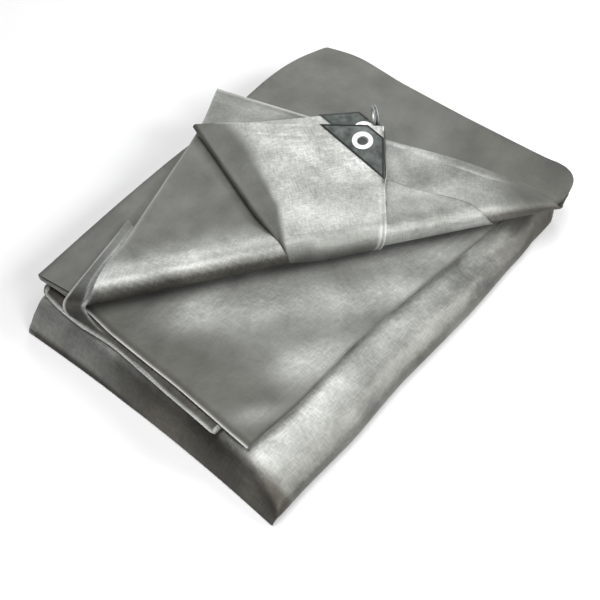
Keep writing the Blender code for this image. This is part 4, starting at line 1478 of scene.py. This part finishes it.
# %% The upright patch's twist
EDGE_ON = math.radians(12.0)
STRIP_THICK = 1.6
SIGHT = np.array([-0.4697, -0.3872, 0.7934])
upright_way = np.cross(np.append(ALONG * -0.070 + ACROSS, 0.0), np.append(ALONG * 0.151, 1.0))
upright_way /= np.linalg.norm(upright_way)
hinge = np.cross(SIGHT, upright_way) * np.sign(SIGHT @ upright_way)
edge_turn = Matrix.Rotation(EDGE_ON, 3, Vector(hinge).normalized())
pivot = EYELETS["eyelet_3"] / MM - CENTRE
turned_strip = (strip - pivot) @ np.array(edge_turn).T + pivot
turn_weight = span(strip_table[:, 1], 112.0, 124.0)[:, None, None]
strip = strip * (1 - turn_weight) + turned_strip * turn_weight
strip_places = (strip.reshape(-1, 3) + CENTRE) * MM
strip_faces = grid_faces(*strip.shape[:2])
holed = np.linalg.norm(strip_places - EYELETS["eyelet_3"], axis=1) < HOLE_CLEAR * MM
patch_3 = make_mesh("upright_corner_patch", strip_places, strip_faces[~holed[strip_faces].any(axis=1)])
merge(patch_3, 0.00001)
thicken(patch_3, STRIP_THICK * MM, 0.0)
bpy.ops.object.shade_smooth_by_angle(angle=math.radians(30))
patch_3.data.materials.append(slate)
print("tab turned by", round(math.degrees(EDGE_ON)), "degrees")

# %% [markdown]
# An eyelet is stamped from sheet aluminium, bright and smooth, with small
# scuffs of about 2 mm that make its gloss uneven. It is drawn only part
# metallic, because a full mirror would show the dark room round the set
# and turn the ring grey.

# %% Stamped aluminium
SCUFF_SCALE = 420.0
bright, tree, shader = new_material("stamped aluminium")
spots = add_node(tree, "ShaderNodeTexCoord").outputs["Object"]
scuff = add_node(tree, "ShaderNodeTexNoise", {"Scale": SCUFF_SCALE, "Detail": 4.0}, {"Vector": spots})
scuff = scuff.outputs["Fac"]
wear = add_node(tree, "ShaderNodeMapRange", {"To Min": 0.3, "To Max": 0.5}, {"Value": scuff})
tree.links.new(wear.outputs["Result"], shader.inputs["Roughness"])
tint = add_node(tree, "ShaderNodeValToRGB", {}, {"Fac": scuff})
for stop, code in zip(tint.color_ramp.elements, ("#e9eaea", "#fbfbfa")):
    stop.color = srgb(code)
tree.links.new(tint.outputs["Color"], shader.inputs["Base Color"])
dents = add_node(tree, "ShaderNodeBump", {"Strength": 0.15, "Distance": 0.0003}, {"Height": scuff})
tree.links.new(dents.outputs["Normal"], shader.inputs["Normal"])
shader.inputs["Metallic"].default_value = 0.35
print("scuffs of about", round(1 / SCUFF_SCALE / MM, 1), "mm")

# %% [markdown]
# The real eyelet is a barrel whose ends are rolled over into a domed flange
# on each side. A torus would be too round. It starts as a circle and is
# drawn out with extrude and scale, row by row, until the profile closes on
# itself. Each row of the profile is a radius and a height.

# %% Drawing out an eyelet
RING = [
    (6.9, -1.4), (11.9, -1.4), (12.2, -1.6), (12.1, -1.85), (11.2, -2.05), (9.4, -2.2), (7.6, -2.1),
    (6.6, -1.7), (6.15, -0.9), (6.1, 0.0), (6.15, 0.9), (6.6, 1.7), (7.6, 2.1), (9.4, 2.2),
    (11.2, 2.05), (12.1, 1.85), (12.2, 1.6), (11.9, 1.4), (6.9, 1.4), (6.9, 0.0),
]
RING_SEGMENTS = 64


def draw_eyelet(name):
    """Closed ring about z, drawn out from a circle by extrude and scale."""
    bpy.ops.object.select_all(action="DESELECT")
    bpy.ops.mesh.primitive_circle_add(vertices=RING_SEGMENTS, radius=RING[0][0],
                                      location=(0, 0, 0), fill_type="NOTHING")
    item = bpy.context.active_object
    item.name = name
    bpy.ops.object.mode_set(mode="EDIT")
    bpy.ops.mesh.select_all(action="SELECT")
    bpy.ops.transform.translate(value=(0, 0, RING[0][1]))
    rows = RING[1:] + RING[:1]
    for before, here in zip([RING[0]] + rows[:-1], rows):
        bpy.ops.mesh.extrude_edges_move(TRANSFORM_OT_translate={"value": (0, 0, here[1] - before[1])})
        size = here[0] / before[0]
        bpy.ops.transform.resize(value=(size, size, 1.0), center_override=(0, 0, here[1]))
    bpy.ops.mesh.select_all(action="SELECT")
    bpy.ops.mesh.remove_doubles(threshold=0.01)
    bpy.ops.mesh.normals_make_consistent(inside=False)
    bpy.ops.object.mode_set(mode="OBJECT")
    bpy.ops.object.shade_smooth_by_angle(angle=math.radians(40))
    item.data.materials.append(bright)
    return item


print("profile rows", len(RING))

# %% [markdown]
# One eyelet is drawn for each place, so each has its own mesh. It could be
# set with a location and a rotation, but the export wants the place inside
# the mesh, so the mesh itself is turned to its axis and moved to the spot
# where the CAD node is.


# %% Setting the eyelets
def set_eyelet(name, node, axis):
    """Turn an eyelet to its axis and set it where the CAD node is."""
    item = draw_eyelet(name)
    turn = Vector((0, 0, 1)).rotation_difference(Vector(axis).normalized())
    item.data.transform(Matrix.Translation(Vector(EYELETS[node])) @ turn.to_matrix().to_4x4()
                        @ Matrix.Scale(MM, 4))
    return item


tilt = ALONG * FLAP_RIGHT_WAY[0] * LIFT_SLOPE + ACROSS * FLAP_RIGHT_WAY[1] * LIFT_SLOPE
ring_1 = set_eyelet("top_eyelet", "eyelet_1", (tilt[0], tilt[1], 1.0))
ring_2 = set_eyelet("lower_eyelet", "eyelet_2", (0.0, 0.0, 1.0))
ring_3 = set_eyelet("upright_eyelet", "eyelet_3", edge_turn @ Vector(upright_way))
print("eyelet triangles", sum(len(face.vertices) - 2 for face in ring_1.data.polygons))

# %% [markdown]
# The camera stands where the photo was taken from, worked out from the
# bundle's edges. It could be aimed with a Track To constraint, but a fixed
# matrix from an azimuth, a tilt and a slight roll gives the same frame
# every time.

# %% Camera
CAMERA_AZIMUTH = math.radians(-50.5)
CAMERA_TILT = math.radians(52.5)
CAMERA_ROLL = math.radians(0.6)
CAMERA_DISTANCE = 1.242
CAMERA_TARGET = np.array([-0.05605, -0.05035, 0.030])
back_way = np.array([
    math.sin(CAMERA_AZIMUTH) * math.cos(CAMERA_TILT),
    -math.cos(CAMERA_AZIMUTH) * math.cos(CAMERA_TILT),
    math.sin(CAMERA_TILT),
])
side_way = np.cross(-back_way, (0.0, 0.0, 1.0))
side_way /= np.linalg.norm(side_way)
up_way = np.cross(side_way, -back_way)
turned_side = math.cos(CAMERA_ROLL) * side_way + math.sin(CAMERA_ROLL) * up_way
turned_up = -math.sin(CAMERA_ROLL) * side_way + math.cos(CAMERA_ROLL) * up_way
PHOTO_WIDTH = 600.0
PHOTO_FOCAL = 1150.0
view = bpy.data.cameras.new("photo view")
view.sensor_width = 36.0
view.lens = view.sensor_width * PHOTO_FOCAL / PHOTO_WIDTH
camera = bpy.data.objects.new("photo view", view)
bpy.context.scene.collection.objects.link(camera)
axes = Matrix((turned_side, turned_up, back_way)).transposed().to_4x4()
camera.matrix_world = Matrix.Translation(Vector(CAMERA_TARGET + back_way * CAMERA_DISTANCE)) @ axes
bpy.context.scene.camera = camera
print("lens", round(view.lens, 1), "mm")

# %% [markdown]
# The bundle lies on a plain white floor. A curved backdrop would hide the
# horizon, but the camera looks down and never sees one, so a plane of matt
# white paper is enough.

# %% Floor
bpy.ops.mesh.primitive_plane_add(size=12.0, location=(0, 0, 0))
floor = bpy.context.active_object
floor.name = "floor"
paper, tree, shader = new_material("matt white paper")
shader.inputs["Base Color"].default_value = srgb("#f2f2f2")
shader.inputs["Roughness"].default_value = 0.9
floor.data.materials.append(paper)
print("floor", tuple(round(side, 1) for side in floor.dimensions))

# %% [markdown]
# Soft studio light comes from four square lamps: one overhead, one behind
# for the back edges, and two in front that make the bright areas on the
# coating. A single sun would give hard shadows. The world adds a faint
# white fill, and the Standard view keeps white paper white.

# %% Lights
AIM = Vector((0.0, 0.0, 0.03))
# Each lamp: its name, its place and size in metres, and its power in watts.
for name, place, size, power in (
    ("overhead", (-0.25, 0.1, 2.2), 1.5, 36.0), ("behind", (1.35, 1.15, 0.85), 0.9, 9.0),
    ("front", (-0.35, -1.35, 1.15), 0.8, 13.0), ("right front", (0.75, -1.05, 1.0), 0.5, 12.0),
):
    lamp = bpy.data.lights.new(name, "AREA")
    lamp.shape = "SQUARE"
    lamp.size = size
    lamp.energy = power
    item = bpy.data.objects.new(name, lamp)
    bpy.context.scene.collection.objects.link(item)
    item.location = place
    item.rotation_euler = (AIM - Vector(place)).to_track_quat("-Z", "Y").to_euler()
world = bpy.data.worlds.new("studio")
world.use_nodes = True
fill = world.node_tree.nodes["Background"]
fill.inputs["Color"].default_value = srgb("#f4f5f6")
fill.inputs["Strength"].default_value = 0.12
bpy.context.scene.world = world
bpy.context.scene.view_settings.view_transform = "Standard"
print("lamps", len(bpy.data.lights))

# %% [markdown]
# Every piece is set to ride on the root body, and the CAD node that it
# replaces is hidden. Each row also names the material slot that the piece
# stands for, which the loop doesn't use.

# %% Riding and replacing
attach(tarp, "root")
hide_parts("tarp")
for piece, node, slot in (
    (patch_1, "corner_patch_1", "dark_patch"), (patch_2, "corner_patch_2", "dark_patch"),
    (patch_3, "corner_patch_3", "dark_patch"), (ring_1, "eyelet_1", "eyelet_metal"),
    (ring_2, "eyelet_2", "eyelet_metal"), (ring_3, "eyelet_3", "eyelet_metal"),
):
    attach(piece, "root")
    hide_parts(node)
